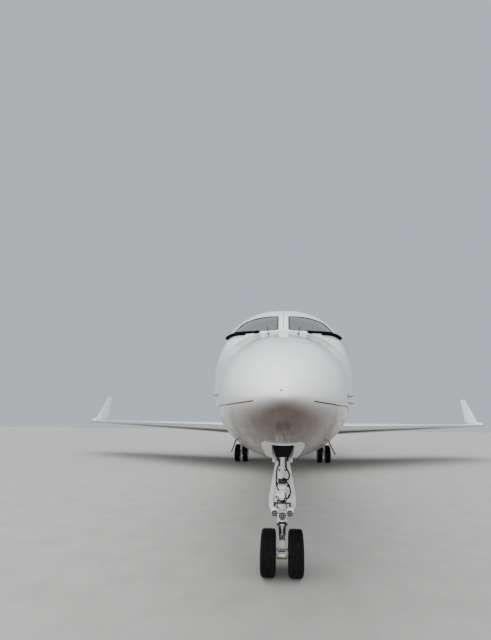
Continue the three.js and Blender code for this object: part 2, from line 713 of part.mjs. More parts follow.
function sectionBetween(a, b, share) {
  const mix = (key) => a[key] + (b[key] - a[key]) * share;
  return { x: mix('x'), y: mix('y'), z: mix('z'), chord: mix('chord'), thickness: mix('thickness') };
}

function buildTail() {
  const [, middle, top] = finSections();
  const planeRoot = tailplaneSections()[1];
  const planeTip = tailplaneSections()[2];
  const bullet = (grow) => turned([
    [0, 9650 - grow],
    [95 + grow, 9850],
    [150 + grow, 10400],
    [165 + grow, 11300],
    [120 + grow, 12600],
    [40 + grow, 13250],
    [0, 13330 + grow],
  ], BULLET_SIDES).translate([0, 0, FIN_TOP_Z + 60]);
  const planeWhole = spanwiseLoft(tailplaneSections());
  const bodySpace = bodyBetween(CABIN_END_Y, NOSE_Y + TAIL_STATIONS.at(-1)[0], SEAT_GAP);
  const topSpace = spanwiseLoft(tailplaneSections(), SEAT_GAP).add(bullet(SEAT_GAP));
  const finWhole = largestPart(uprightLoft(finSections()).subtract(bodySpace).subtract(topSpace));
  const rudderHinge = RUDDER_Z.map((z) => {
    const share = (z - middle.z) / (top.z - middle.z);
    return hingePoint(sectionBetween(middle, top, share), FIN_HINGE_CHORD);
  });
  const finSplit = splitAtHinge(finWhole, rudderHinge, sidePrismFrom, RUDDER_FOOT_GAP);
  addPiece('fin', largestPart(finWhole.subtract(finSplit.space).add(finSplit.pins)), PAINT);
  addPiece('rudder', finSplit.moving, PAINT);
  const elevatorHinge = ELEVATOR_X.map((x) =>
    hingePoint(sectionBetween(planeRoot, planeTip, x / TAILPLANE_HALF_SPAN), TAILPLANE_HINGE_CHORD));
  const elevator = splitAtHinge(planeWhole, elevatorHinge, planPrismFrom);
  const cutPlane = planeWhole.subtract(elevator.space).subtract(mirrored(elevator.space));
  const tailplane = union([cutPlane, bullet(0), elevator.pins, mirrored(elevator.pins)]);
  addPiece('tailplane', largestPart(tailplane), PAINT);
  addPair('elevator', elevator.moving, PAINT);
}

// Engines on the aft fuselage
function nacelleProfile() {
  // Outer skin from the lip aft, then the duct back to the lip: radius, y
  return [
    [600, 2720], [690, 2760], [745, 3000], [775, 3600], [780, 4600], [745, 5800], [640, 7000], [530, 7750],
    [505, 7750], [590, 6900], [DUCT_RADIUS + 20, 5800], [DUCT_RADIUS, 4600], [DUCT_RADIUS, 3400],
    [550, 2950], [560, 2790], [600, 2720],
  ];
}

function nacelleBulk(grow) {
  return turned([
    [0, 2720 - grow], [690 + grow, 2760 - grow], [745 + grow, 3000], [775 + grow, 3600], [780 + grow, 4600],
    [745 + grow, 5800], [640 + grow, 7000], [530 + grow, 7750 + grow], [0, 7750 + grow],
  ], DUCT_SIDES);
}

function buildEngines() {
  const place = [ENGINE_X, 0, ENGINE_Z];
  addPair('nacelle', turned(nacelleProfile(), DUCT_SIDES), PAINT, place);
  const pylonWhole = spanwiseLoft([
    { x: 800, y: 3500, z: 2900, chord: 4300, thickness: 0.055 },
    { x: 1700, y: 3700, z: 2930, chord: 3700, thickness: 0.055 },
  ]);
  const nacelleSpace = nacelleBulk(SEAT_GAP).translate(place);
  const pylon = pylonWhole.subtract(nacelleSpace).subtract(bodyBetween(CABIN_END_Y - 500, 11000, SEAT_GAP));
  const pieces = pylon.decompose().filter((piece) => piece.boundingBox().min[0] < ENGINE_X - 700);
  addPair('pylon', largestPart(union(pieces)), PAINT);
  addPair('fan', fanSolid(), BARE_METAL, [ENGINE_X, FAN_Y, ENGINE_Z]);
  addPair('engine', engineSolid(), BARE_METAL, [ENGINE_X, FAN_Y, ENGINE_Z]);
}

// Fan with its spinner, about its own centre, turning about Y
function fanSolid() {
  const hub = turned([
    [0, -330], [70, -290], [140, -180], [175, -80], [178, 130],
    [64, 130], [64, HUB_BORE_END], [0, HUB_BORE_END],
  ], HUB_SIDES);
  const blades = [];
  for (let i = 0; i < FAN_BLADES; i += 1) {
    const root = bladeRing(165, 62, 20, 12);
    const tip = bladeRing(FAN_RADIUS, 80, 58, 7);
    const turn = (360 * i) / FAN_BLADES;
    blades.push(loft([root, tip]).rotate([0, turn, 0]));
  }
  return union([hub, ...blades]);
}

// Four corners of a blade's section at one radius, staggered from the axis
function bladeRing(radius, halfChord, stagger, thickness) {
  const angle = THREE.MathUtils.degToRad(stagger);
  const along = [Math.sin(angle), Math.cos(angle)];
  const across = [Math.cos(angle) * (thickness / 2), -Math.sin(angle) * (thickness / 2)];
  return [[-1, 0.4], [-1, -0.4], [1, -0.4], [1, 0.4]].map(([end, side]) => [
    along[0] * halfChord * end + across[0] * side * 2,
    along[1] * halfChord * end + across[1] * side * 2,
    radius,
  ]);
}

// Core with its shaft stub, guide vanes out to the duct and the exhaust cone
function engineSolid() {
  const stubEnd = HUB_BORE_END + 0.5;
  const core = turned([
    [0, stubEnd], [60, stubEnd], [60, 138], [180, 138], [250, 500], [330, 1100], [370, 2300],
    [330, 3300], [250, 3500], [120, 4000], [0, 4150],
  ], HUB_SIDES);
  const vanes = [];
  for (let i = 0; i < GUIDE_VANES; i += 1) {
    const vane = block([-8, 8], [450, 700], [200, DUCT_RADIUS * Math.cos(Math.PI / DUCT_SIDES) - SEAT_GAP]);
    vanes.push(vane.rotate([0, (360 * i) / GUIDE_VANES + 180 / DUCT_SIDES, 0]));
  }
  return union([core, ...vanes]);
}

// Wheels: a tyre ring and a rim, centred, turning about X
function tyreSolid({ radius, width, rim }) {
  const half = width / 2;
  const shoulder = radius - width * 0.16;
  return turnedWheel([
    [rim, -half * 0.78], [(rim + radius) / 2, -half], [shoulder, -half * 0.9], [radius, -half * 0.45],
    [radius, half * 0.45], [shoulder, half * 0.9], [(rim + radius) / 2, half], [rim, half * 0.78],
    [rim, -half * 0.78],
  ]);
}

// Height of an axle whose tyres stand on their flat sides
function axleHeight({ radius }) {
  return radius * Math.cos(Math.PI / WHEEL_SIDES);
}

function rimSolid({ rim, width }) {
  const half = width / 2;
  const edge = rim - SEAT_GAP;
  return turnedWheel([
    [0, -half * 0.5], [rim * 0.4, -half * 0.5], [rim * 0.85, -half * 0.2], [edge, -half * 0.78],
    [edge, half * 0.78], [rim * 0.85, half * 0.2], [rim * 0.4, half * 0.62], [0, half * 0.62],
  ]);
}

function wheelPair(size, axleRadius) {
  const outboard = rimSolid(size).translate([size.offset, 0, 0]);
  const axle = pin([-size.offset, 0, 0], [size.offset, 0, 0], axleRadius);
  return union([outboard, mirrored(outboard), axle]);
}

// Nose gear
const LEG_END_Z = 660;
const COLLAR = { top: 652, bottom: 596, radius: 60 };
const NOSE_AXLE_RADIUS = 26;
const NOSE_PISTON = { radius: 28, top: 880 };
const TOW_LUG = { halfWidth: 48, reach: 82 };

function buildNoseGear() {
  const y = NOSE_GEAR_Y;
  const roof = FLOOR_UNDERSIDE_Z - 25 - SEAT_GAP;
  const legParts = [
    block([-150, 150], [y - 60, y + 60], [roof - 110, roof]),
    rod([0, y, LEG_END_Z], [0, y, roof - 50], 50),
    rod([0, y, 890], [0, y, 1040], 62),
    block([-42, 42], [y - 105, y - 30], [905, 1015]),
    rod([0, y, LEG_END_Z], [0, y, LEG_END_Z + 60], 58),
    rod([0, y - 20, 1150], [0, y - 320, roof - 60], 26),
    block([-60, 60], [y - 350, y - 290], [roof - 110, roof]),
  ];
  const bore = pinBore([0, y, LEG_END_Z - 10], [0, y, NOSE_PISTON.top + 8], NOSE_PISTON.radius);
  addPiece('nose_gear_leg', largestPart(union(legParts).subtract(bore)), GEAR_PAINT);
  const axleZ = axleHeight(NOSE_TYRE);
  const forkParts = [
    rod([0, y, COLLAR.bottom], [0, y, COLLAR.top], COLLAR.radius),
    pin([0, y, axleZ], [0, y, NOSE_PISTON.top], NOSE_PISTON.radius),
    rod([0, y, axleZ - 40], [0, y, 420], 44),
    rod([-70, y, axleZ], [70, y, axleZ], 48),
    torqueLink([0, y - 52, 624], [0, y - 190, 455], 100, 60),
    torqueLink([0, y - 190, 455], [0, y - 40, 300], 60, 110),
    block([-TOW_LUG.halfWidth, TOW_LUG.halfWidth], [y - TOW_LUG.reach, y - 30], [axleZ - 22, axleZ + 14]),
  ];
  const axleBore = pinBore([-100, y, axleZ], [100, y, axleZ], NOSE_AXLE_RADIUS);
  addPiece('nose_gear_fork', largestPart(union(forkParts).subtract(axleBore)), GEAR_PAINT);
  addWheels('nose', NOSE_TYRE, NOSE_AXLE_RADIUS, [0, y, axleZ], ['port', 'starboard']);
  const panel = frontPrism([
    [-100, 1300], [-175, 900], [-175, 760], [-140, 715], [140, 715], [175, 760], [175, 900], [100, 1300],
  ], y + 150, y + 168);
  const stay = block([-20, 20], [y + 40, y + 155], [930, 980]);
  const hinge = block([-20, 20], [y + 130, y + 165], [1250, 1385]);
  const leg = rod([0, y, LEG_END_Z], [0, y, 1100], 50 + SEAT_GAP)
    .add(rod([0, y, 880], [0, y, 1050], 62 + SEAT_GAP, 62 + SEAT_GAP, 24));
  addPiece('nose_gear_rear_door', largestPart(union([panel, stay, hinge]).subtract(leg)), PAINT);
  const lamps = [[-92, 765, 40], [0, 735, 47], [92, 765, 40]].map(([x, z, radius]) =>
    rod([x, y - 165, z], [x, y - 95, z], radius, radius * 0.7));
  const bracket = block([-100, 100], [y - 100, y - 70], [735, 775]);
  const arm = block([-25, 25], [y - 95, y - 40], [735, 775]);
  const lampSet = union([...lamps, bracket, arm]).subtract(
    rod([0, y, 600], [0, y, 900], 50 + SEAT_GAP, 50 + SEAT_GAP, 24));
  addPiece('landing_lamps', largestPart(lampSet), BARE_METAL);
}

// A tapered link between two points in the aeroplane's middle plane
function torqueLink(from, to, widthFrom, widthTo) {
  const start = rod([-widthFrom / 2, from[1], from[2]], [widthFrom / 2, from[1], from[2]], 16);
  const end = rod([-widthTo / 2, to[1], to[2]], [widthTo / 2, to[1], to[2]], 16);
  return start.add(end).add(linkPlate(from, to, widthFrom, widthTo));
}

function linkPlate(from, to, widthFrom, widthTo) {
  const along = new THREE.Vector3(0, to[1] - from[1], to[2] - from[2]);
  const across = new THREE.Vector3(0, -along.z, along.y).normalize().multiplyScalar(10);
  const ring = (point, width) => [[-1, -1], [1, -1], [1, 1], [-1, 1]].map(([side, face]) =>
    [(side * width) / 2, point[1] + across.y * face, point[2] + across.z * face]);
  return loft([ring(from, widthFrom), ring(to, widthTo)]);
}

function addWheels(name, size, axleRadius, place, sides) {
  addPiece(`${name}_wheel_rims`, wheelPair(size, axleRadius), BARE_METAL, place);
  const [x, y, z] = place;
  addPiece(`${name}_tyre_${sides[0]}`, tyreSolid(size), RUBBER, [x + size.offset, y, z]);
  addPiece(`${name}_tyre_${sides[1]}`, tyreSolid(size), RUBBER, [x - size.offset, y, z]);
}

// Main gear
const MAIN_AXLE_RADIUS = 45;

function buildMainGear() {
  const [x, y, axleZ] = [MAIN_GEAR_X, MAIN_GEAR_Y, axleHeight(MAIN_TYRE)];
  const legTop = MAIN_GEAR_ROOF_Z - SEAT_GAP;
  const parts = [
    rod([x, y, 780], [x, y, legTop - 40], 88),
    rod([x, y, axleZ], [x, y, 800], 62),
    block([x - 120, x + 120], [y - 120, y + 120], [legTop - 120, legTop]),
    rod([x - 78, y, axleZ], [x + 78, y, axleZ], 85),
    rod([x - 60, y, 1150], [x - 640, y, legTop - 60], 38),
    block([x - 700, x - 600], [y - 60, y + 60], [legTop - 110, legTop]),
  ];
  const links = union([
    torqueLink([0, y - 80, 820], [0, y - 260, 660], 120, 70),
    torqueLink([0, y - 260, 660], [0, y - 60, 470], 70, 120),
  ]).translate([x, 0, 0]);
  const bore = pinBore([x - 120, y, axleZ], [x + 120, y, axleZ], MAIN_AXLE_RADIUS);
  const leg = largestPart(union(parts).add(links).subtract(bore));
  addPair('main_gear_leg', leg, GEAR_PAINT);
  for (const [side, sign] of [['port', 1], ['starboard', -1]]) {
    const ends = sign > 0 ? ['outer', 'inner'] : ['inner', 'outer'];
    addWheels(`main_${side}`, MAIN_TYRE, MAIN_AXLE_RADIUS, [sign * x, y, axleZ], ends);
  }
  const doorX = x + 135;
  const doorOutline = [[y - 210, 1470], [y + 210, 1470], [y + 190, 930], [y - 190, 930]];
  const door = sidePrism(doorOutline, doorX, doorX + 16);
  const brackets = [1100, 1400].map((z) => block([x + 60, doorX + 5], [y - 25, y + 25], [z, z + 40]));
  const legSpace = rod([x, y, 700], [x, y, legTop - 125], 88 + SEAT_GAP)
    .add(block([x - 121, x + 121], [y - 121, y + 121], [legTop - 125, legTop + 10]));
  addPair('main_gear_door', largestPart(union([door, ...brackets]).subtract(legSpace)), PAINT);
}

buildForwardFuselage();
buildCabinFuselage();
buildAftFuselage();
buildBellyFairing();
buildEntryDoor();
buildInterior();
buildSeats();
buildWings();
buildWinglets();
buildTail();
buildEngines();
buildNoseGear();
buildMainGear();

export default jet;
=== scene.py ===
# %% [markdown]
# # A business jet parked on its landing gear
# This lesson dresses a twin-engined business jet. The working model already holds every panel, wheel
# and hinge at its real size, but its round parts are many-sided. Here the skins are modelled again as
# smooth shells, the landing gear gets its small parts, and every surface gets a finish of its own.
# We start by loading the model; the box of the radome later gives the place of the nose.

# %% Load the model
import bpy
import bmesh
import math
from mathutils import Matrix, Vector


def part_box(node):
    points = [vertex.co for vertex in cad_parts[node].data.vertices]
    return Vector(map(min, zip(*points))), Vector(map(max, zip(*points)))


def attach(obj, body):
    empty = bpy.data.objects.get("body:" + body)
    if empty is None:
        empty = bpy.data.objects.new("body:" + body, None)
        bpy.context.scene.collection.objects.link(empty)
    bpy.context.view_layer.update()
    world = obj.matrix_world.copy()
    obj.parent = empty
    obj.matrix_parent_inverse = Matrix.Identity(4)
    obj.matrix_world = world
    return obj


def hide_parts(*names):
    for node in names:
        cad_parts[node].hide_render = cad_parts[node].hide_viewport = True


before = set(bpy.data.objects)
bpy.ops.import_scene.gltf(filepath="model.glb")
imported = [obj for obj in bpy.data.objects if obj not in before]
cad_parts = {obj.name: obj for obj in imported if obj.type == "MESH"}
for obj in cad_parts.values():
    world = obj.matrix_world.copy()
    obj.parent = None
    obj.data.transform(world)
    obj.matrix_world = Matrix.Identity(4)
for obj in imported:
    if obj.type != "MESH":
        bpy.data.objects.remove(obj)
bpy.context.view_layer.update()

# %% [markdown]
# ## The camera
# The photograph was taken at head height, a little more than a metre ahead of the nose, with a wide
# lens tipped up by nine degrees and turned slightly to one side. The frame was cropped off centre,
# which a small lens shift repeats.

# %% Camera
IMAGE_HEIGHT = 640
IMAGE_WIDTH = 491
FOCAL_PIXELS = 296.6
CENTRE_PIXEL = (271.9, 380.3)
EYE = Vector((-0.005, -14.787, 1.804))
HEADING = math.radians(2.11)
TILT_UP = math.radians(8.74)
ROLL = math.radians(0.68)

camera_data = bpy.data.cameras.new("camera")
camera_data.sensor_width = 36
camera_data.lens = FOCAL_PIXELS / IMAGE_HEIGHT * camera_data.sensor_width
camera_data.shift_x = (IMAGE_WIDTH / 2 - CENTRE_PIXEL[0]) / IMAGE_HEIGHT
camera_data.shift_y = (CENTRE_PIXEL[1] - IMAGE_HEIGHT / 2) / IMAGE_HEIGHT
camera_data.clip_start = 0.05
camera_data.clip_end = 400
camera = bpy.data.objects.new("camera", camera_data)
camera.matrix_world = (
    Matrix.Translation(EYE)
    @ Matrix.Rotation(HEADING, 4, "Z")
    @ Matrix.Rotation(math.radians(90) + TILT_UP, 4, "X")
    @ Matrix.Rotation(ROLL, 4, "Z")
)
bpy.context.scene.collection.objects.link(camera)
bpy.context.scene.camera = camera
print("Lens", round(camera_data.lens, 2), "mm on a 36 mm sensor")

# %% [markdown]
# ## Materials
# Each finish is a small node tree on object coordinates, so a pattern stays fixed to its piece. One
# helper makes the shader, and the others add what real surfaces show, patches of colour, uneven gloss
# and fine relief, and a painted shade on faces that look down. Values that are even all over go
# straight on the shader.


# %% Material helpers
def new_material(name, colour, roughness, metallic=0.0, **extra):
    """A Principled material; extra names further shader inputs, such as Coat_Weight."""
    material = bpy.data.materials.new(name)
    material.use_nodes = True
    shader = material.node_tree.nodes["Principled BSDF"]
    shader.inputs["Base Color"].default_value = (*colour, 1)
    shader.inputs["Roughness"].default_value = roughness
    shader.inputs["Metallic"].default_value = metallic
    for key, value in extra.items():
        shader.inputs[key.replace("_", " ")].default_value = value
    print("Finish:", name)
    return material


def pattern(material, kind, output, stretch, **settings):
    """A pattern in object space, stretched along the axes."""
    nodes, links = material.node_tree.nodes, material.node_tree.links
    coordinates = nodes.new("ShaderNodeTexCoord")
    mapping = nodes.new("ShaderNodeMapping")
    mapping.inputs["Scale"].default_value = stretch
    made = nodes.new(kind)
    for key, value in settings.items():
        made.inputs[key].default_value = value
    links.new(coordinates.outputs["Object"], mapping.inputs["Vector"])
    links.new(mapping.outputs["Vector"], made.inputs["Vector"])
    return made.outputs[output]


def noise(material, scale, detail=4.0, stretch=(1, 1, 1)):
    """Soft patches, or streaks where one axis is stretched."""
    return pattern(material, "ShaderNodeTexNoise", "Fac", stretch, Scale=scale, Detail=detail)


def cells(material, scale, randomness=1.0, stretch=(1, 1, 1)):
    """The distance from the middles of small cells."""
    return pattern(
        material, "ShaderNodeTexVoronoi", "Distance", stretch, Scale=scale, Randomness=randomness
    )


def spread(material, value, low, high, start=0.35, end=0.65):
    """Stretches a pattern so that start gives low and end gives high."""
    node = material.node_tree.nodes.new("ShaderNodeMapRange")
    for key, number in (("From Min", start), ("From Max", end), ("To Min", low), ("To Max", high)):
        node.inputs[key].default_value = number
    material.node_tree.links.new(value, node.inputs["Value"])
    return node.outputs["Result"]


def blend_colour(material, share, first, second):
    """Mixes two colours, or an earlier colour output and a colour, by a pattern."""
    nodes, links = material.node_tree.nodes, material.node_tree.links
    mix = nodes.new("ShaderNodeMix")
    mix.data_type = "RGBA"
    links.new(share, mix.inputs["Factor"])
    for socket, colour in ((mix.inputs[6], first), (mix.inputs[7], second)):
        if isinstance(colour, tuple):
            socket.default_value = (*colour, 1)
        else:
            links.new(colour, socket)
    return mix.outputs[2]


def connect(material, value, name):
    shader = material.node_tree.nodes["Principled BSDF"]
    material.node_tree.links.new(value, shader.inputs[name])


def relief(material, height, distance, strength=1.0):
    """Fine bumps, with their height in metres."""
    nodes, links = material.node_tree.nodes, material.node_tree.links
    bump = nodes.new("ShaderNodeBump")
    bump.inputs["Distance"].default_value = distance
    bump.inputs["Strength"].default_value = strength
    links.new(height, bump.inputs["Height"])
    connect(material, bump.outputs["Normal"], "Normal")


def underside(material):
    """0 on faces that look up or sideways and 1 on those that look straight down."""
    stored = material.node_tree.nodes.new("ShaderNodeAttribute")
    stored.attribute_name = "under"
    return stored.outputs["Fac"]


# %% [markdown]
# ### White paint
# The airframe wears glossy white enamel under a clear coat. In daylight it mirrors the sky above and
# the ground below, so most of its look comes from the surroundings. The paint itself only needs a
# slight waviness, faint patches that dull the gloss, and a painted dark brown shade on the faces that
# look down, for the shade under the body and the ground it mirrors; the coat is thinner there.

# %% Paints
WHITE = (0.80, 0.81, 0.80)
# The painted shade on faces that look down: the shade under the body and the dark ground it mirrors.
UNDER_SHADE = (0.088, 0.056, 0.038)


def painted(name, colour, shade_below, roughness=(0.13, 0.24)):
    """Gloss enamel with faint patches, streaks along the airflow and a painted shade on faces that look down.
    """
    material = new_material(name, colour, roughness[0], Coat_Weight=0.85, Coat_Roughness=0.10)
    patches = noise(material, 1.3, 6)
    streaks = noise(material, 4.0, 5, stretch=(6, 0.35, 6))
    worn = tuple(value * 0.9 for value in colour)
    shaded = blend_colour(material, spread(material, patches, 0.0, 0.8), colour, worn)
    # Faces that look down take the painted shade colour, broken a little by the streaks.
    low = spread(material, underside(material), 0.0, 0.93, 0.05, 0.85)
    streaked = spread(material, streaks, 0.965, 1.0)
    multiply = material.node_tree.nodes.new("ShaderNodeMath")
    multiply.operation = "MULTIPLY"
    material.node_tree.links.new(low, multiply.inputs[0])
    material.node_tree.links.new(streaked, multiply.inputs[1])
    with_shade_below = blend_colour(material, multiply.outputs["Value"], shaded, shade_below)
    connect(material, with_shade_below, "Base Color")
    connect(material, spread(material, streaks, *roughness), "Roughness")
    connect(material, spread(material, underside(material), 0.85, 0.04, 0.05, 0.6), "Coat Weight")
    connect(material, spread(material, underside(material), 0.5, 0.12, 0.05, 0.6), "Specular IOR Level")
    relief(material, noise(material, 2.2, 3), 0.0016, 0.35)
    return material


# The third colour of each paint is its painted shade on the faces that look down.
PAINT = painted("white_enamel", WHITE, UNDER_SHADE)
BELLY_PAINT = painted("belly_enamel", (0.74, 0.74, 0.73), UNDER_SHADE, (0.16, 0.30))
AERIAL_RED = painted("aerial_red", (0.16, 0.02, 0.02), (0.08, 0.02, 0.02), (0.3, 0.45))

# %% [markdown]
# ### Glass
# The windshields are thick, heated and grey, and seen from below they mirror the sky while letting a
# little of the flight deck show. The cabin windows look almost black from outside.


# %% Glass
def glass(name, tint, through):
    material = new_material(
        name, tint, 0.03, IOR=1.52, Transmission_Weight=through, Coat_Weight=1.0, Coat_Roughness=0.02
    )
    haze = noise(material, 9, 5, stretch=(1, 1, 0.4))
    connect(material, spread(material, haze, 0.02, 0.09), "Roughness")
    relief(material, noise(material, 3, 2), 0.0006, 0.3)
    return material


WINDSHIELD_GLASS = glass("windshield_glass", (0.13, 0.14, 0.14), 0.35)
CABIN_GLASS = glass("cabin_glass", (0.10, 0.12, 0.14), 0.55)
LAMP_GLASS = glass("lamp_glass", (0.70, 0.74, 0.78), 0.9)


def dotted_lens():
    """A landing lamp seen from ahead: many small bright emitters in a dark face."""
    material = new_material("dotted_lens", (0.03, 0.03, 0.03), 0.25, Coat_Weight=0.3, Coat_Roughness=0.1)
    dots = spread(material, cells(material, 44, 0.15, (1, 0, 1)), 0.9, 0.0, 0.16, 0.30)
    connect(material, blend_colour(material, dots, (0.02, 0.02, 0.022), (0.40, 0.41, 0.40)), "Base Color")
    return material


LENS = dotted_lens()

# %% [markdown]
# ### Metals
# Polished inlet lips, machined wheels, chromed pistons and heat-stained exhausts are all metal, and
# differ in roughness and tint. Turning marks come from noise that is squeezed along one axis.


# %% Metals
def metal(name, colour, stain, roughness, grain, stretch, depth=0.0002):
    material = new_material(name, colour, roughness[0], 1.0)
    marks = noise(material, grain, 6, stretch)
    stains = noise(material, 7, 5)
    connect(material, blend_colour(material, spread(material, stains, 0, 0.8), colour, stain), "Base Color")
    connect(material, spread(material, marks, *roughness), "Roughness")
    relief(material, marks, depth, 0.4)
    return material


POLISHED = metal("polished_lip", (0.86, 0.87, 0.88), (0.78, 0.79, 0.8), (0.06, 0.16), 40, (1, 12, 1))
WHEEL_METAL = metal("wheel_metal", (0.62, 0.63, 0.64), (0.33, 0.31, 0.28), (0.22, 0.5), 30, (8, 1, 1))
CHROME = metal("chromed_piston", (0.90, 0.90, 0.91), (0.8, 0.8, 0.8), (0.04, 0.12), 60, (1, 1, 6))
TITANIUM = metal("fan_titanium", (0.50, 0.51, 0.53), (0.36, 0.36, 0.38), (0.2, 0.38), 50, (1, 6, 1))
HOT_METAL = metal("exhaust_metal", (0.36, 0.31, 0.26), (0.16, 0.15, 0.17), (0.3, 0.55), 18, (4, 1, 4))
DARK_METAL = metal("dark_metal", (0.12, 0.12, 0.125), (0.05, 0.05, 0.05), (0.35, 0.6), 40, (1, 1, 1))

# %% [markdown]
# ### Rubber, enamel and cabin finishes
# Tyres are a dusty black with faintly browner patches. The legs wear satin white enamel with
# grease and dirt in patches. Inside are leather, carpet, cream panels and dark instrument plastic.


# %% Soft and satin finishes
def satin(name, colour, worn, roughness, grain, depth, share=0.8, **extra):
    """A satin surface with patches of a second colour and a fine relief."""
    material = new_material(name, colour, roughness[0], **extra)
    patches = noise(material, grain / 6, 6)
    fine = noise(material, grain, 4)
    mixed = blend_colour(material, spread(material, patches, 0, share, 0.4, 0.7), colour, worn)
    connect(material, mixed, "Base Color")
    connect(material, spread(material, fine, *roughness), "Roughness")
    relief(material, fine, depth, 0.6)
    return material


TYRE_RUBBER = satin(
    "tyre_rubber", (0.004, 0.004, 0.005), (0.011, 0.010, 0.009), (0.6, 0.82), 160, 0.0006,
    Specular_IOR_Level=0.15,
)
SEAL_RUBBER = satin("seal_rubber", (0.025, 0.026, 0.028), (0.06, 0.06, 0.06), (0.5, 0.7), 90, 0.0003)
BLACK_RUBBER = satin(
    "black_rubber", (0.003, 0.003, 0.004), (0.006, 0.006, 0.006), (0.85, 1.0), 90, 0.0003,
    Specular_IOR_Level=0.03,
)
GROOVE = satin("panel_groove", (0.05, 0.05, 0.05), (0.10, 0.09, 0.09), (0.6, 0.8), 60, 0.0002)
CADMIUM = satin("cadmium_plate", (0.17, 0.14, 0.05), (0.10, 0.08, 0.035), (0.4, 0.6), 60, 0.0001)
GEAR_ENAMEL = satin("gear_enamel", (0.74, 0.74, 0.72), (0.42, 0.38, 0.33), (0.25, 0.45), 60, 0.0004, 0.5)
CREAM_PANEL = satin("cream_panel", (0.66, 0.61, 0.52), (0.6, 0.54, 0.45), (0.5, 0.65), 220, 0.0003)
CARPET = satin("carpet", (0.20, 0.17, 0.15), (0.27, 0.24, 0.2), (0.9, 1.0), 420, 0.003, Sheen_Weight=0.4)
PANEL_PLASTIC = satin("panel_plastic", (0.06, 0.06, 0.065), (0.09, 0.09, 0.09), (0.55, 0.75), 260, 0.0003)


def leather_finish(name, colour, worn):
    """Leather: small cells of grain, with softer folds over them."""
    material = new_material(name, colour, 0.45, Sheen_Weight=0.15)
    patches = noise(material, 9, 5)
    connect(material, blend_colour(material, spread(material, patches, 0, 0.7), colour, worn), "Base Color")
    connect(material, spread(material, patches, 0.38, 0.55), "Roughness")
    relief(material, cells(material, 420), 0.0008, 0.5)
    return material


LEATHER = leather_finish("seat_leather", (0.55, 0.46, 0.35), (0.46, 0.37, 0.27))

# %% [markdown]
# ## Making a piece
# Every piece is built in a bmesh, turned into a mesh whose object stays at the origin, shaded smooth
# with sharp edges kept by angle, and told which body it rides on and which finish it stands for.


# %% Cutting and dressing
def solid_object(bm, name="cutter"):
    """A plain object from a bmesh, for cutting with or for dressing later."""
    mesh = bpy.data.meshes.new(name)
    bm.to_mesh(mesh)
    bm.free()
    thing = bpy.data.objects.new(name, mesh)
    bpy.context.scene.collection.objects.link(thing)
    return thing


def settle(thing):
    """Applies the modifiers of an object to its mesh."""
    depsgraph = bpy.context.evaluated_depsgraph_get()
    mesh = bpy.data.meshes.new_from_object(thing.evaluated_get(depsgraph))
    thing.modifiers.clear()
    thing.data = mesh
    return thing


def carve(thing, cutter, operation="DIFFERENCE", keep=False):
    """Cuts with, or keeps only what lies in, a closed cutter."""
    modifier = thing.modifiers.new("carve", "BOOLEAN")
    modifier.operation = operation
    modifier.solver = "EXACT"
    modifier.object = cutter
    settle(thing)
    if not keep:
        bpy.data.objects.remove(cutter)
    return thing


def add_finishes(thing, *finishes):
    for finish in finishes:
        thing.data.materials.append(finish)
    return thing


def dress(thing, name, finish, replaces=(), body="airframe", sharp=32):
    """Names, shades and paints an object and ties it to its body; no finish keeps what it has."""
    thing.name = name
    thing.data.name = name
    if finish:
        add_finishes(thing, finish)
    thing.data.shade_smooth()
    thing.data.set_sharp_from_angle(angle=math.radians(sharp))
    # Each point keeps how far it looks down; the paints darken such faces with a painted shade.
    under = thing.data.attributes.new("under", "FLOAT", "POINT")
    under.data.foreach_set("value", [max(0.0, -vertex.normal.z) for vertex in thing.data.vertices])
    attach(thing, body)
    if replaces:
        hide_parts(*replaces)
    print(f"{name}: {len(thing.data.polygons)} faces")
    return thing


def make_piece(name, bm, finish, replaces=(), body="airframe"):
    return dress(solid_object(bm), name, finish, replaces, body)


def mirrored_object(thing):
    """A mirrored copy of an object with its finishes, for the other side of the aeroplane."""
    bm = bmesh.new()
    bm.from_mesh(thing.data)
    bmesh.ops.scale(bm, vec=(-1, 1, 1), verts=bm.verts[:])
    bmesh.ops.reverse_faces(bm, faces=bm.faces[:])
    return add_finishes(solid_object(bm), *thing.data.materials)


print("Helpers for cutting and dressing ready")

# %% [markdown]
# ### Lofts and prisms
# Skins, wings and hoses are surfaces through a row of sections, and plates and cutters are an outline
# drawn out to a thickness. Two helpers make both, with their faces outwards.


# %% Lofts and prisms
def loft(rings, closed=True):
    """A skin through sections of equal count: a grid that is bent round and closed at its ends."""
    rows, around = len(rings) - 1, len(rings[0])
    bm = bmesh.new()
    bmesh.ops.create_grid(bm, x_segments=rows, y_segments=around, size=1)
    for vertex in bm.verts:
        row = round((vertex.co.x + 1) / 2 * rows)
        place = round((vertex.co.y + 1) / 2 * around) % around
        vertex.co = rings[row][place]
    bmesh.ops.remove_doubles(bm, verts=bm.verts[:], dist=1e-6)
    if closed:
        edge = [e for e in bm.edges if e.is_boundary]
        bmesh.ops.holes_fill(bm, edges=edge, sides=0)
    bmesh.ops.recalc_face_normals(bm, faces=bm.faces[:])
    return bm


def prism(outline, low, high):
    """A closed block from a flat outline: each point, shifted by low and by high."""
    bm = bmesh.new()
    face = bm.faces.new([bm.verts.new(Vector(point) + Vector(low)) for point in outline])
    grown = bmesh.ops.extrude_face_region(bm, geom=[face])["geom"]
    moved = [item for item in grown if isinstance(item, bmesh.types.BMVert)]
    bmesh.ops.translate(bm, verts=moved, vec=Vector(high) - Vector(low))
    bmesh.ops.recalc_face_normals(bm, faces=bm.faces[:])
    return bm


print("Helpers for lofts ready")

# %% [markdown]
# ### Rods, blocks and turned forms
# Most small parts are round bars, boxes with softened edges, or profiles spun on an axis. They are
# added to a bmesh one by one, so that one piece can hold many of them.


# %% Rods, blocks and turned forms
def round_edges(bm, edges, radius, segments=2):
    bmesh.ops.bevel(
        bm, geom=list(edges), offset=radius, segments=segments, profile=0.5, affect="EDGES", material=-1
    )


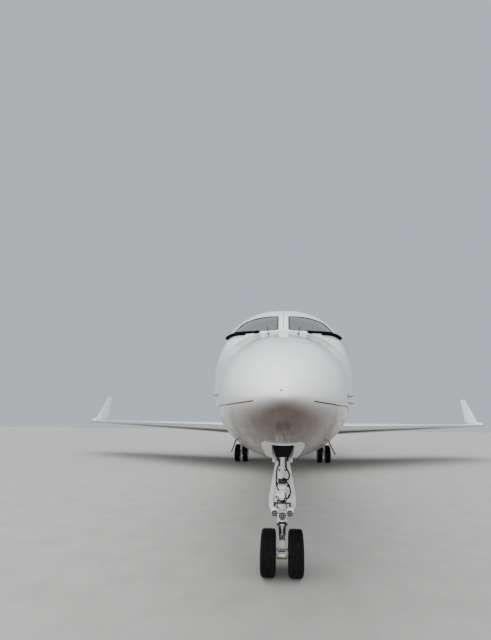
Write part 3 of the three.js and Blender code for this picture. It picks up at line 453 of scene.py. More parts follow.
def add_rod(bm, start, end, radius, end_radius=None, sides=32, edge=0.0):
    """A round bar between two points, added to a bmesh, with its end edges rounded if asked."""
    start, end = Vector(start), Vector(end)
    along = end - start
    turn = along.to_track_quat("Z", "Y").to_matrix().to_4x4()
    made = bmesh.ops.create_cone(
        bm, cap_ends=True, segments=sides, radius1=radius,
        radius2=radius if end_radius is None else end_radius,
        depth=along.length, matrix=Matrix.Translation((start + end) / 2) @ turn,
    )["verts"]
    if edge:
        rims = {e for v in made for e in v.link_edges if any(len(f.verts) > 4 for f in e.link_faces)}
        round_edges(bm, rims, edge)


def add_block(bm, low, high, edge=0.0):
    """A box between two corners, added to a bmesh, with rounded edges if asked."""
    low, high = Vector(low), Vector(high)
    matrix = Matrix.Translation((low + high) / 2) @ Matrix.Diagonal((*(high - low), 1))
    made = bmesh.ops.create_cube(bm, size=1, matrix=matrix)["verts"]
    if edge:
        round_edges(bm, {e for v in made for e in v.link_edges}, edge)


def add_turned(bm, profile, centre, axis, steps=64):
    """A profile of (distance along the axis, radius) points, spun round the axis through centre."""
    axis = Vector(axis).normalized()
    out = axis.orthogonal().normalized()
    line = [bm.verts.new(Vector(centre) + axis * along + out * radius) for along, radius in profile]
    edges = [bm.edges.new(pair) for pair in zip(line, line[1:])]
    bmesh.ops.spin(
        bm, geom=line + edges, cent=centre, axis=axis, angle=2 * math.pi, steps=steps, use_merge=True
    )
    bmesh.ops.remove_doubles(bm, verts=bm.verts[:], dist=1e-6)
    bmesh.ops.recalc_face_normals(bm, faces=bm.faces[:])


def add_part(bm, part):
    """Adds one bmesh to another."""
    mesh = bpy.data.meshes.new("part")
    part.to_mesh(mesh)
    part.free()
    bm.from_mesh(mesh)
    bpy.data.meshes.remove(mesh)


print("Helpers for small parts ready")

# %% [markdown]
# ### Smooth lines and hoses
# A hose needs a line without kinks. This curve passes through every point that it is given, which
# makes it easy to say where a hose is clipped.


# %% Smooth lines and hoses
def smooth_line(points, steps=8):
    """A smooth line through points, with steps between each pair."""
    points = [Vector(point) for point in points]
    ends = [2 * points[0] - points[1], *points, 2 * points[-1] - points[-2]]
    line = []
    for before, start, end, after in zip(ends, ends[1:], ends[2:], ends[3:]):
        for step in range(steps):
            t = step / steps
            line.append(0.5 * (
                2 * start + (end - before) * t
                + (2 * before - 5 * start + 4 * end - after) * t ** 2
                + (3 * start - before - 3 * end + after) * t ** 3
            ))
    return line + [points[-1]]


def add_hose(bm, points, radius, sides=12, steps=8):
    """A round hose along a smooth line, as a loft of rings square to it."""
    line = smooth_line(points, steps)
    rings = []
    side = (line[1] - line[0]).orthogonal().normalized()
    for index, point in enumerate(line):
        ahead = line[min(index + 1, len(line) - 1)] - line[max(index - 1, 0)]
        side = (side - side.project(ahead)).normalized()
        up = ahead.normalized().cross(side)
        rings.append([
            point + side * math.cos(a) * radius + up * math.sin(a) * radius
            for a in (2 * math.pi * i / sides for i in range(sides))
        ])
    add_part(bm, loft(rings))


print("Helpers for hoses ready")

# %% [markdown]
# ## The fuselage's form
# The body is round along the cabin and tapers to a blunt nose and a slim tail. Its sections are two
# half ellipses, above and below a centre height, and beside the windshields the upper one is drawn
# out into fuller shoulders. A short table gives them, and a curve that never overshoots runs through
# the table, so the skin is smooth and stays inside the model's box.

# %% Body sections
NOSE_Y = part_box("radome")[0].y
BODY_RADIUS = 1.195
BODY_CENTRE = 2.4
WALL = 0.08
AROUND = 128
FIT = 0.0005
# Columns: distance aft of the nose, centre height, half width, top height, bottom height, and the
# upper half's exponent, which is 1 for an ellipse and less for fuller shoulders
STATIONS = [
    (0.00, 1.950, 0.006, 1.956, 1.944, 1.00),
    (0.06, 1.955, 0.108, 2.050, 1.880, 1.00),
    (0.25, 1.985, 0.245, 2.190, 1.805, 1.00),
    (0.60, 2.040, 0.395, 2.380, 1.720, 0.98),
    (1.30, 2.135, 0.590, 2.640, 1.590, 0.94),
    (2.05, 2.230, 0.785, 2.905, 1.480, 0.89),
    (2.45, 2.280, 0.890, 3.250, 1.430, 0.86),
    (2.85, 2.330, 0.985, 3.490, 1.378, 0.86),
    (3.30, 2.365, 1.080, 3.580, 1.320, 0.88),
    (3.80, 2.390, 1.155, 3.590, 1.258, 0.93),
    (4.50, 2.400, BODY_RADIUS, 3.595, 1.205, 1.00),
    (16.45, 2.400, BODY_RADIUS, 3.595, 1.205, 1.00),
    (18.05, 2.410, 1.190, 3.595, 1.230, 1.00),
    (19.95, 2.500, 1.090, 3.595, 1.420, 1.00),
    (21.95, 2.680, 0.880, 3.570, 1.780, 1.00),
    (23.65, 2.900, 0.600, 3.470, 2.300, 1.00),
    (24.75, 3.040, 0.330, 3.350, 2.730, 1.00),
]

print("Sections in the table:", len(STATIONS))

# %% [markdown]
# ### Curves through the table
# A curve that swings past its points would put dents in the skin. These slopes are gentle enough that
# it never does, and one function reads all five columns at any distance aft of the nose.


# %% Curves through the table
def gentle_slopes(places, values):
    """Slopes for a curve through the values that doesn't overshoot them."""
    rises = [(b - a) / (q - p) for p, q, a, b in zip(places, places[1:], values, values[1:])]
    slopes = [rises[0]]
    for before, after in zip(rises, rises[1:]):
        flat = before * after <= 0
        slopes.append(0 if flat else 2 * before * after / (before + after))
    return slopes + [rises[-1]]


def curves_through(places, rows):
    """The values and slopes of one curve for each column of a table."""
    return [(values, gentle_slopes(places, values)) for values in zip(*rows)]


def curve_values(places, curves, place):
    """Where all the curves are at one place."""
    index = max(i for i, start in enumerate(places[:-1]) if start <= place)
    width = places[index + 1] - places[index]
    t = (place - places[index]) / width
    return [
        values[index] * (1 + 2 * t) * (1 - t) ** 2 + values[index + 1] * t * t * (3 - 2 * t)
        + width * (slopes[index] * t * (1 - t) ** 2 - slopes[index + 1] * t * t * (1 - t))
        for values, slopes in curves
    ]


SPREAD = [math.sqrt(row[0]) for row in STATIONS]
BODY_CURVES = curves_through(SPREAD, [row[1:] for row in STATIONS])


def section(aft):
    """Centre height, half width, top, bottom and exponent of the body at a distance aft of the nose."""
    return curve_values(SPREAD, BODY_CURVES, math.sqrt(min(max(aft, 0), STATIONS[-1][0])))


print("Half width at the windshield:", round(section(2.45)[1], 3), "m")

# %% [markdown]
# ### Points of the skin
# Everything on the body is placed by a distance aft of the nose and by an angle or a height. Here
# these become points of the skin, rings for a loft, and a test of what lies inside the skin.


# %% Points of the skin
def body_point(aft, angle, grow=0.0):
    """A point of the skin, with the angle measured from port towards the top."""
    centre, half, top, bottom, exponent = section(aft)
    across, up = math.cos(angle), math.sin(angle)
    power = exponent if up >= 0 else 1
    rise = top - centre if up >= 0 else centre - bottom
    x = math.copysign(abs(across) ** power, across) * max(half + grow, 0.001)
    z = centre + math.copysign(abs(up) ** power, up) * max(rise + grow, 0.001)
    return Vector((x, NOSE_Y + aft, z))


def body_rings(stations, grow=0.0):
    """The body's sections as rings of points, each starting at its lowest point."""
    angles = [-math.pi / 2 + 2 * math.pi * i / AROUND for i in range(AROUND)]
    return [[body_point(aft, angle, grow) for angle in angles] for aft in stations]


def steps_between(start, end, pitch):
    count = max(1, round((end - start) / pitch))
    return [start + (end - start) * i / count for i in range(count + 1)]


def body_space(start, end, pitch):
    """The space that the body takes up, with a hair of room, for cutting it out of other pieces."""
    return solid_object(loft(body_rings(steps_between(start, end, pitch), FIT)))


def skin_power(aft, z):
    centre, _, _, _, exponent = section(aft)
    return 2 / exponent if z >= centre else 2


def skin_share(x, aft, z):
    """Below 1 inside the skin, 1 on it and above 1 outside."""
    centre, half, top, bottom, _ = section(aft)
    rise = top - centre if z >= centre else centre - bottom
    power = skin_power(aft, z)
    return (abs(x) / half) ** power + (abs(z - centre) / rise) ** power


print("The crown behind the windshield:", body_point(4.5, math.pi / 2))

# %% [markdown]
# ## Fuselage shells
# Aluminium skins a few millimetres thick sit on frames, with an insulated lining inside; together
# they are about 80 mm. A loft of the sections gives the outer face, and the Solidify modifier grows the
# wall inwards. The wall's inner face gets the cabin's lining as its second material.

# %% Fuselage helpers
SEAM = 0.0025
RADOME_AFT = 1.30
RADOME_WALL = 0.03
COCKPIT_AFT = 3.80
CABIN_AFT = 16.45


def body_shell(stations, thickness, grow=0.0, outside=PAINT, inside=CREAM_PANEL):
    """A length of the fuselage's wall; the first section of all closes the tip of the nose."""
    skin = loft(body_rings(stations, grow), closed=False)
    if stations[0] == 0:
        tip = [e for e in skin.edges if e.is_boundary and e.verts[0].co.y < NOSE_Y + 0.001]
        bmesh.ops.holes_fill(skin, edges=tip, sides=0)
        bmesh.ops.recalc_face_normals(skin, faces=skin.faces[:])
    thing = add_finishes(solid_object(skin), outside, inside)
    wall = thing.modifiers.new("wall", "SOLIDIFY")
    wall.thickness = thickness
    wall.offset = -1
    wall.use_rim = True
    wall.material_offset = 1
    return settle(thing)


def rounded_prism(outline, low, high, radius, segments=5):
    """A prism whose edges along its length are rounded."""
    bm = prism(outline, low, high)
    along = (Vector(high) - Vector(low)).normalized()
    edges = [
        e for e in bm.edges
        if abs((e.verts[0].co - e.verts[1].co).normalized().dot(along)) > 0.999
    ]
    round_edges(bm, edges, radius, segments)
    return bm


def combine(things):
    """Joins several objects' meshes into one object."""
    bm = bmesh.new()
    for thing in things:
        bm.from_mesh(thing.data)
        bpy.data.objects.remove(thing)
    return solid_object(bm)


print("The wall is", 1000 * WALL, "mm thick")

# %% [markdown]
# ### The nose
# The radome is a composite cone over the radar antenna. It is a separate piece with a thin seam, and
# being round all over it needs most of its sections near the tip, where the curve is tightest.

# %% Radome
radome_stations = [RADOME_AFT * (i / 36) ** 2 for i in range(37)]
radome_stations[-1] -= SEAM
radome = body_shell(radome_stations, RADOME_WALL)
dress(radome, "radome_skin", None, ["radome"])

# %% [markdown]
# ### Windshield openings
# Two curved front panes meet at a narrow post, and a side window sits behind each of them. Their
# outlines are given as seen from ahead and from the side, so a prism cuts each opening straight through
# the skin. The same prisms, a little smaller, later cut the panes, which keeps the seal's width even.

# %% Window outlines
WINDSHIELD = [
    (0.068, 0, 2.962), (0.070, 0, 3.255), (0.222, 0, 3.257), (0.352, 0, 3.245), (0.468, 0, 3.219),
    (0.550, 0, 3.191), (0.609, 0, 3.118), (0.676, 0, 3.008), (0.480, 0, 2.963), (0.200, 0, 2.956),
]
WINDSHIELD_CENTRE = (0.35, 0, 3.105)
SIDE_WINDOW = [
    (0, -10.80, 2.80), (0, -10.74, 3.02), (0, -10.48, 3.10), (0, -9.96, 3.135), (0, -9.52, 3.065),
    (0, -9.47, 2.80),
]
SIDE_CENTRE = (0, -10.0, 2.93)


def nose_opening(outline, centre, low, high, radius, grow, both):
    """A prism through the skin from a window's outline, grown from its centre, on one side or both."""
    ways = [Vector(point) - Vector(centre) for point in outline]
    moved = [Vector(point) + way.normalized() * grow for point, way in zip(outline, ways)]
    port = solid_object(rounded_prism(moved, low, high, radius))
    return combine([port, mirrored_object(port)]) if both else port


def windshield_cutter(grow, both=True):
    low, high = (0, -11.7, 0), (0, -10.0, 0)
    return nose_opening(WINDSHIELD, WINDSHIELD_CENTRE, low, high, max(0.010, 0.016 + grow), grow, both)


def side_window_cutter(grow, both=True):
    return nose_opening(SIDE_WINDOW, SIDE_CENTRE, (0.3, 0, 0), (1.5, 0, 0), 0.06 + grow, grow, both)


print("Each windshield's outline has", len(WINDSHIELD), "corners")

# %% [markdown]
# ### Forward fuselage
# The flight deck's shell carries the windows and the bay of the nose gear. It is a length of the same
# wall, and each opening is a Boolean cut, which keeps the skin round them true to the body's curve.

# %% Forward fuselage
WELL = ((-0.165, -11.23, 1.0), (0.165, -10.48, 1.552))

forward_stations = (
    [RADOME_AFT + SEAM] + steps_between(RADOME_AFT + 0.04, COCKPIT_AFT - 0.04, 0.06)
    + [COCKPIT_AFT - SEAM]
)
forward = body_shell(forward_stations, WALL)
carve(forward, windshield_cutter(0.004))
carve(forward, side_window_cutter(0.004))
well = bmesh.new()
add_block(well, *WELL)
carve(forward, solid_object(well))
dress(forward, "forward_skin", None, ["forward_fuselage"])

# %% [markdown]
# ### Windshield panes and seals
# Each pane is a laminate 20 mm thick held by a black seal. Both are made from thin layers of the same
# skin, cut by the same prisms, so the glass follows the body's curve and the seal stands 2 mm proud.

# %% Windshields and side windows
GLASS_STATIONS = steps_between(1.55, 4.05, 0.05)
SIDES = (("port", 1), ("starboard", -1))


def nose_layer(thickness, grow):
    return body_shell(GLASS_STATIONS, thickness, grow, SEAL_RUBBER, SEAL_RUBBER)


for side, sign in SIDES:
    for kind, cutter in (("windshield", windshield_cutter), ("side_windows", side_window_cutter)):
        pane = nose_layer(0.02, -0.003)
        pane.data.materials.clear()
        shape = cutter(-0.006, both=False)
        if sign < 0:
            shape.data.transform(Matrix.Scale(-1, 4, (1, 0, 0)))
            shape.data.flip_normals()
        carve(pane, shape, "INTERSECT")
        replaced = [f"{kind}_{side}"]
        dress(pane, f"{kind}_pane_{side}", WINDSHIELD_GLASS, replaced)

seal = nose_layer(0.012, 0.0015)
carve(seal, combine([windshield_cutter(0.009), side_window_cutter(0.009)]), "INTERSECT")
carve(seal, combine([windshield_cutter(-0.013), side_window_cutter(-0.013)]))
dress(seal, "window_seals", None)

# %% [markdown]
# ### Places on the skin
# Small fittings are placed by where they sit on the real nose: how far to the side, how far aft and how
# high. A helper slides each place out to the skin and also finds the way straight out of it, so that
# probes stand square to the surface and thin seams lie flat on it.


# %% Places on the skin
def skin_spot(x, aft, z):
    """A point of the skin near a place, and the direction straight out of it."""
    centre = section(aft)[0]
    scale = skin_share(x, aft, z) ** (-1 / skin_power(aft, z))
    x, z = x * scale, centre + (z - centre) * scale
    step = 0.004
    out = Vector((
        skin_share(x + step, aft, z) - skin_share(x - step, aft, z),
        skin_share(x, aft + step, z) - skin_share(x, aft - step, z),
        skin_share(x, aft, z + step) - skin_share(x, aft, z - step),
    ))
    return Vector((x, NOSE_Y + aft, z)), out.normalized()


def add_ribbon(bm, spots, width, lift, sink=0.002):
    """A thin strip along a line of (point, way out) pairs."""
    rings = []
    for index, (spot, out) in enumerate(spots):
        ahead = spots[min(index + 1, len(spots) - 1)][0] - spots[max(index - 1, 0)][0]
        side = ahead.cross(out).normalized() * width / 2
        low, high = spot - out * sink, spot + out * lift
        rings.append([low - side, low + side, high + side, high - side])
    add_part(bm, loft(rings))


def skin_line(places, steps=6):
    """Pairs along a smooth line through places given as (x, aft, z)."""
    return [skin_spot(*place) for place in smooth_line(places, steps)]


def both_sides(places):
    return [[(sign * x, aft, z) for x, aft, z in places] for sign in (1, -1)]


def add_stud(bm, place, height, radius, sides=32, edge=0.0, sink=0.003):
    """A round stud that stands straight out of the skin, and its foot and way out."""
    spot, out = skin_spot(*place)
    add_rod(bm, spot - out * sink, spot + out * height, radius, sides=sides, edge=edge)
    return spot, out


print("The way out of the nose's tip:", skin_spot(0.0, 0.02, 1.96)[1])

# %% [markdown]
# ### Seams of the nose
# The lower half of the nose opens for the electronics behind it, and the lids meet the upper skin in a
# long seam on each side that turns down behind them. Thin dark strips, half a millimetre proud, make
# seams that stay crisp at any distance.

# %% Seams of the nose
SIDE_SEAM = [
    (0.15, 0.12, 1.926), (0.23, 0.25, 1.926), (0.335, 0.49, 1.933), (0.59, 1.39, 1.98),
    (0.785, 2.26, 1.972),
]
DOWN_SEAM = [(0.785, 2.26, 1.972), (0.649, 2.541, 1.678), (0.576, 2.986, 1.534), (0.458, 3.454, 1.396)]
BROW_SEAM = [
    (0.06, 2.03, 2.90), (0.30, 2.07, 2.87), (0.50, 2.20, 2.885), (0.62, 2.33, 2.91), (0.75, 2.60, 2.97),
]
SEAM_LIFT = 0.0005

seams = bmesh.new()
for line, width in ((SIDE_SEAM, 0.007), (DOWN_SEAM, 0.006), (BROW_SEAM, 0.0025)):
    for places in both_sides(line):
        add_ribbon(seams, skin_line(places), width, SEAM_LIFT)
post = [(0.0, 2.10 + 0.1 * i, 3.3) for i in range(8)]
add_ribbon(seams, skin_line(post), 0.005, SEAM_LIFT)
make_piece("nose_seams", seams, GROOVE)

rivets = bmesh.new()
for row in both_sides([(0.045, 2.18 + 0.055 * i, 3.2) for i in range(9)]):
    for place in row:
        add_stud(rivets, place, 0.0008, 0.004, sides=12, sink=0.002)
make_piece("post_rivets", rivets, WHEEL_METAL)

# %% [markdown]
# ### Wipers
# Each wiper parks along the foot of its pane: a thick arm outboard and a thin blade inboard. Both are
# ribbons held just off the skin, and two round studs stand for the arm's pivot and the blade's clip.

# %% Wipers
WIPER_ARM = [(0.765, 2.62, 2.985), (0.68, 2.45, 2.955), (0.58, 2.32, 2.935), (0.47, 2.20, 2.918)]
WIPER_BLADE = [(0.62, 2.38, 2.975), (0.50, 2.25, 2.955), (0.38, 2.165, 2.94), (0.29, 2.12, 2.925)]

wipers = bmesh.new()
for arm in both_sides(WIPER_ARM):
    add_ribbon(wipers, skin_line(arm), 0.034, 0.034, -0.006)
for blade in both_sides(WIPER_BLADE):
    add_ribbon(wipers, skin_line(blade), 0.018, 0.026, -0.002)
for pivot, clip in both_sides([(0.74, 2.58, 2.97), (0.33, 2.13, 2.925)]):
    add_stud(wipers, pivot, 0.03, 0.028, edge=0.004)
    add_stud(wipers, clip, 0.03, 0.020, edge=0.004)
make_piece("wipers", wipers, BLACK_RUBBER)

# %% [markdown]
# ### Probes, drains and vanes
# Two black temperature probes stand before the panes, and small drains and sensors dot the nose. The
# vanes at its sides turn into the airflow. All of them start as a stud on the skin.

# %% Probes, drains and vanes
probes = bmesh.new()
for probe, drain in both_sides([(0.17, 1.90, 2.83), (0.378, 1.24, 2.51)]):
    spot, out = add_stud(probes, probe, 0.006, 0.017, edge=0.002)
    add_rod(probes, spot, spot + out * 0.085, 0.0055, 0.004, sides=16, edge=0.001)
    add_stud(probes, drain, 0.0015, 0.011, sides=24)
for place, radius in (((-0.010, 0.001, 1.963), 0.0035), ((0.0, 0.45, 1.75), 0.006)):
    add_stud(probes, place, 0.002, radius, sides=16)
make_piece("nose_probes", probes, DARK_METAL)

vanes = bmesh.new()
for place in ((-0.639, 1.502, 2.091), (0.532, 1.093, 2.049), (0.686, 1.732, 2.043)):
    spot, out = add_stud(vanes, place, 0.004, 0.024, edge=0.002)
    tip = spot + out * 0.022
    add_rod(vanes, spot, tip, 0.007, 0.006, sides=16)
    add_rod(vanes, tip, tip + Vector((0, -0.075, 0)), 0.006, 0.004, sides=16, edge=0.001)
make_piece("nose_vanes", vanes, WHEEL_METAL)

# %% [markdown]
# ### Under the nose
# A pale flared frame stands ahead of the nose-gear bay round a slot, whose shaded depth is painted as
# a black strip. Its cheeks, its brow and the slot are broad ribbons along the skin. The cheeks stand
# highest and the brow lowest, so that no two faces lie in the same place.

# %% Slot frame
slot_frame = bmesh.new()
for cheek in both_sides([(0.122 + 0.028 * i / 6, 0.88 + 0.33 * i, 1.66 - 0.045 * i) for i in range(7)]):
    add_ribbon(slot_frame, skin_line(cheek, 2), 0.078, 0.016)
brow = [(x, 0.80 + 0.10 * abs(x), 1.66) for x in (-0.145, -0.07, 0.0, 0.07, 0.145)]
add_ribbon(slot_frame, skin_line(brow, 4), 0.030, 0.010)
make_piece("slot_frame", slot_frame, GEAR_ENAMEL)

# A black strip on the skin is painted shade for the slot's depth.
slot_painted_shade = bmesh.new()
dark = [(0.0, 0.83 + 0.21 * i, 1.66 - 0.030 * i) for i in range(9)]
add_ribbon(slot_painted_shade, skin_line(dark, 2), 0.150, 0.012)
make_piece("slot_painted_shade", slot_painted_shade, BLACK_RUBBER)

# %% [markdown]
# ### Aerials under the nose
# Two thin dark red aerial blades hang below the body's sides, leaning outwards. A blade is a loft of
# flat ovals that shrink towards its tip, which gives it a rounded front and back.


# %% Aerials
def flat_oval(centre, half_thickness, half_chord, points=24):
    """A level ring, thin across and long in the direction of flight."""
    turns = [2 * math.pi * i / points for i in range(points)]
    return [
        centre + Vector((half_thickness * math.sin(turn), half_chord * math.cos(turn), 0))
        for turn in turns
    ]


aerials = bmesh.new()
for x, aft, z, lean in ((-0.672, 3.03, 1.604, -0.38), (0.60, 2.70, 1.62, 0.52)):
    spot, _ = skin_spot(x, aft, z)
    down = Vector((lean, 0.25, -1)).normalized()
    add_part(aerials, loft([
        flat_oval(spot + down * 0.20 * t, 0.007, chord / 2)
        for t, chord in ((-0.05, 0.16), (0.5, 0.13), (1.0, 0.09))
    ]))
make_piece("aerial_blades", aerials, AERIAL_RED)

# %% [markdown]
# ### Cabin section
# The cabin is a plain tube with six oval windows on each side and one doorway. An ellipse is the right
# window for a pressurised hull, because it has no corner for a crack to start from.

# %% Cabin fuselage
WINDOW_PLACES = [-7.3 + 1.3 * i for i in range(6)]
WINDOW_HALF = (0.32, 0.235)
WINDOW_Z = 2.68
DOOR_Y = (-9.5, -8.62)
DOOR_ANGLES = (math.radians(-38), math.radians(50))
RUNNING_GAP = 0.008


def window_cutter(grow, reach=1.4):
    """All oval openings at once, through both sides."""
    bm = bmesh.new()
    for y in WINDOW_PLACES:
        size = Matrix.Diagonal((1, WINDOW_HALF[0] + grow, WINDOW_HALF[1] + grow, 1))
        turn = Matrix.Rotation(math.radians(90), 4, "Y")
        place = Matrix.Translation((0, y, WINDOW_Z))
        bmesh.ops.create_cone(
            bm, cap_ends=True, segments=48, radius1=1, radius2=1, depth=2 * reach,
            matrix=place @ size @ turn,
        )
    return solid_object(bm)


def sector_cutter(grow, inner=0.6, outer=1.6):
    """The doorway: a sector of the body between two angles, with square cuts at its ends."""
    gap = grow / BODY_RADIUS
    low, high = DOOR_ANGLES[0] - gap, DOOR_ANGLES[1] + gap
    angles = [low + (high - low) * i / 12 for i in range(13)]
    outline = [(math.cos(a) * outer, 0, BODY_CENTRE + math.sin(a) * outer) for a in angles]
    outline += [(math.cos(a) * inner, 0, BODY_CENTRE + math.sin(a) * inner) for a in (high, low)]
    return prism(outline, (0, DOOR_Y[0] - grow, 0), (0, DOOR_Y[1] + grow, 0))


cabin_stations = (
    [COCKPIT_AFT + SEAM] + steps_between(COCKPIT_AFT + 0.04, 4.6, 0.07)
    + steps_between(5.0, CABIN_AFT - 0.4, 0.6) + [CABIN_AFT - SEAM]
)
cabin = body_shell(cabin_stations, WALL)
carve(cabin, window_cutter(0.0))
carve(cabin, solid_object(sector_cutter(RUNNING_GAP)))
dress(cabin, "cabin_skin", None, ["cabin_fuselage"])

# %% [markdown]
# ### Cabin windows
# Every opening has an outer pane set back a little, a black gasket round it and a cream surround on the
# inside. They are layers of the skin again, cut by growing and shrinking ellipses.

# %% Cabin windows
window_stations = steps_between(5.7, 14.1, 0.6)
side_block = bmesh.new()
add_block(side_block, (0, -9, 2), (2, 1, 3.3))
port_half = solid_object(side_block)
for side, sign in SIDES:
    panes = body_shell(window_stations, 0.014, -0.012)
    panes.data.materials.clear()
    carve(panes, window_cutter(-0.004), "INTERSECT")
    carve(panes, port_half, "INTERSECT" if sign > 0 else "DIFFERENCE", keep=True)
    dress(panes, f"cabin_panes_{side}", CABIN_GLASS, [f"window_line_{side}"])
bpy.data.objects.remove(port_half)

gasket = body_shell(window_stations, 0.02, 0.001, SEAL_RUBBER, SEAL_RUBBER)
carve(gasket, window_cutter(0.006), "INTERSECT")
carve(gasket, window_cutter(-0.012))
dress(gasket, "window_gaskets", None)

surround = body_shell(window_stations, 0.022, -WALL + 0.002, CREAM_PANEL, CREAM_PANEL)
carve(surround, window_cutter(0.06), "INTERSECT")
carve(surround, window_cutter(-0.02))
dress(surround, "window_surrounds", None)
print("Windows:", len(WINDOW_PLACES), "on each side")

# %% [markdown]
# ### Aft fuselage
# Behind the cabin the body tapers to a narrow cone that ends in the auxiliary power unit's exhaust.
# Here it is solid; the pipe is a short bore with a heat-stained lining.

# %% Aft fuselage
TAIL_END_AFT = STATIONS[-1][0]
NOZZLE = {"radius": 0.15, "z": 3.04, "depth": 0.25}

aft_stations = [CABIN_AFT + SEAM] + steps_between(CABIN_AFT + 0.1, TAIL_END_AFT, 0.22)
aft = solid_object(loft(body_rings(aft_stations)))
pipe = bmesh.new()
tail_y = NOSE_Y + TAIL_END_AFT
pipe_start, pipe_end = ((0, tail_y + reach, NOZZLE["z"]) for reach in (-NOZZLE["depth"], 0.1))
add_rod(pipe, pipe_start, pipe_end, NOZZLE["radius"], sides=64)
carve(aft, solid_object(pipe))
dress(aft, "aft_skin", PAINT, ["aft_fuselage"])

liner = bmesh.new()
add_turned(
    liner,
    [(-0.25, 0.0), (-0.25, 0.145), (0.012, 0.145), (0.018, 0.149), (0.012, 0.153), (-0.24, 0.149)],
    (0, tail_y, NOZZLE["z"]), (0, 1, 0),
)
make_piece("exhaust_pipe", liner, HOT_METAL)

# %% [markdown]
# ### Belly fairing
# A flat-bottomed fairing carries the wing under the cabin and hides its centre box. Its sections are
# rounded rectangles, so it is lofted like the body and the body's space is cut out of its top.

# %% Belly fairing
FAIRING = [
    (-4.70, 0.500, 1.500, 1.190), (-4.00, 0.980, 1.760, 1.110), (-3.00, 1.270, 1.960, 1.045),
    (2.30, 1.290, 1.960, 1.045), (3.40, 1.050, 1.760, 1.100), (4.40, 0.560, 1.500, 1.200),
]
FAIRING_PLACES = [row[0] for row in FAIRING]
FAIRING_CURVES = curves_through(FAIRING_PLACES, [row[1:] for row in FAIRING])


def fairing_ring(y, points=96):
    half, top, bottom = curve_values(FAIRING_PLACES, FAIRING_CURVES, y)
    ring = []
    for i in range(points):
        across, up = math.cos(2 * math.pi * i / points), math.sin(2 * math.pi * i / points)
        x = math.copysign(abs(across) ** 0.6, across) * half
        z = math.copysign(abs(up) ** 0.6, up) * (top - bottom) / 2
        ring.append(Vector((x, y, (top + bottom) / 2 + z)))
    return ring


def fairing_object():
    places = (
        steps_between(-4.7, -3.0, 0.12) + steps_between(-2.5, 1.9, 0.6) + steps_between(2.3, 4.4, 0.12)
    )
    return solid_object(loft([fairing_ring(y) for y in places]))


fairing = fairing_object()
carve(fairing, body_space(6.5, 20.0, 0.5))
dress(fairing, "belly_fairing_skin", BELLY_PAINT, ["belly_fairing"])

# %% [markdown]
# ## Wings
# A wing's section is a symmetrical airfoil here: blunt in front, thickest a third of the way back and
# sharp behind. Two sections, at the root and the tip, set the whole wing, since it tapers in straight
# lines. The sweep, the upward slope and the chords all come from a few driving values.

# %% Wing form
SWEEP_FRONT = math.tan(math.radians(30.5))
SWEEP_REAR = math.tan(math.radians(14.3))
DIHEDRAL = math.tan(math.radians(1.55))
WING_ROOT = {"x": 1.2, "y": -3.2, "rear": 2.1, "z": 1.69, "thickness": 0.105}
WING_X = (0.9, 11.56)
TIP_THICKNESS = 0.085
TRAILING_EDGE = 0.004
WING_HINGE = 0.76


def wing_at(x):
    """The wing's section at a distance from the centre line: its leading edge, chord and thickness."""
    out = x - WING_ROOT["x"]
    front = WING_ROOT["y"] + out * SWEEP_FRONT
    rear = WING_ROOT["rear"] + out * SWEEP_REAR
    share = out / (WING_X[1] - WING_ROOT["x"])
    thickness = WING_ROOT["thickness"] + (TIP_THICKNESS - WING_ROOT["thickness"]) * share
    height = WING_ROOT["z"] + out * DIHEDRAL
    return {"x": x, "y": front, "z": height, "chord": rear - front, "thickness": thickness}


def blend(first, second, share):
    """A section between two others."""
    return {key: first[key] + (second[key] - first[key]) * share for key in first}


def half_share(fraction):
    """The airfoil's half thickness, as a share of its greatest, at a fraction of the chord."""
    return 10 * (
        0.2969 * math.sqrt(fraction) - 0.126 * fraction - 0.3516 * fraction ** 2
        + 0.2843 * fraction ** 3 - 0.1036 * fraction ** 4
    )


def airfoil(chord, thickness, points=28):
    """Offsets (aft, across) round a section, starting at the trailing edge."""
    fractions = [0.5 + 0.5 * math.cos(math.pi * i / points) for i in range(points + 1)]
    half = chord * thickness / 2
    upper = [(f * chord, half_share(f) * half + TRAILING_EDGE * f) for f in fractions]
    lower = [(f * chord, -half_share(f) * half - TRAILING_EDGE * f) for f in reversed(fractions[:-1])]
    return upper + lower


def level_ring(place):
    """A section's points, with its thickness upright."""
    return [
        Vector((place["x"], place["y"] + aft, place["z"] + across))
        for aft, across in airfoil(place["chord"], place["thickness"])
    ]


def chord_point(place, share):
    """A point on the chord, such as a hinge, and the section's half thickness there."""
    half = place["chord"] * place["thickness"] / 2 * half_share(share)
    return Vector((place["x"], place["y"] + place["chord"] * share, place["z"])), half


print("The wing's chord at its root:", round(wing_at(WING_ROOT["x"])["chord"], 2), "m")

# %% [markdown]
# ### Movable surfaces
# Flaps and ailerons are cut out of the same wing they belong to, so their shapes always agree. The
# cutter is a flat block behind the hinge line, joined to a round bar along it; the surface keeps a
# round nose, and the fixed part gives up the same space with a running gap of 8 mm.


# %% Hinge cutter
def hinge_cutter(ends, grow, flat_normal, foot=0.0):
    """The space of a movable surface, from the two ends of its hinge line and a growth."""
    (start, start_half), (end, end_half) = ends
    along = (end - start).normalized()
    aft = Vector((0, 1, 0))
    aft = (aft - aft.project(along)).normalized()
    first = start - along * max(grow, foot if grow else 0.0)
    last = end + along * grow
    first_edge = Vector((0, 1, 0)) if foot else aft
    outline = [first, last, last + aft * 3, first + first_edge * 3]
    block = solid_object(prism(outline, flat_normal * -0.6, flat_normal * 0.6))
    nose = bmesh.new()
    add_rod(nose, first, last, start_half + grow, end_half + grow, sides=48)
    return carve(block, solid_object(nose), "UNION")


def copied(thing):
    twin = thing.copy()
    twin.data = thing.data.copy()
    bpy.context.scene.collection.objects.link(twin)
    return twin


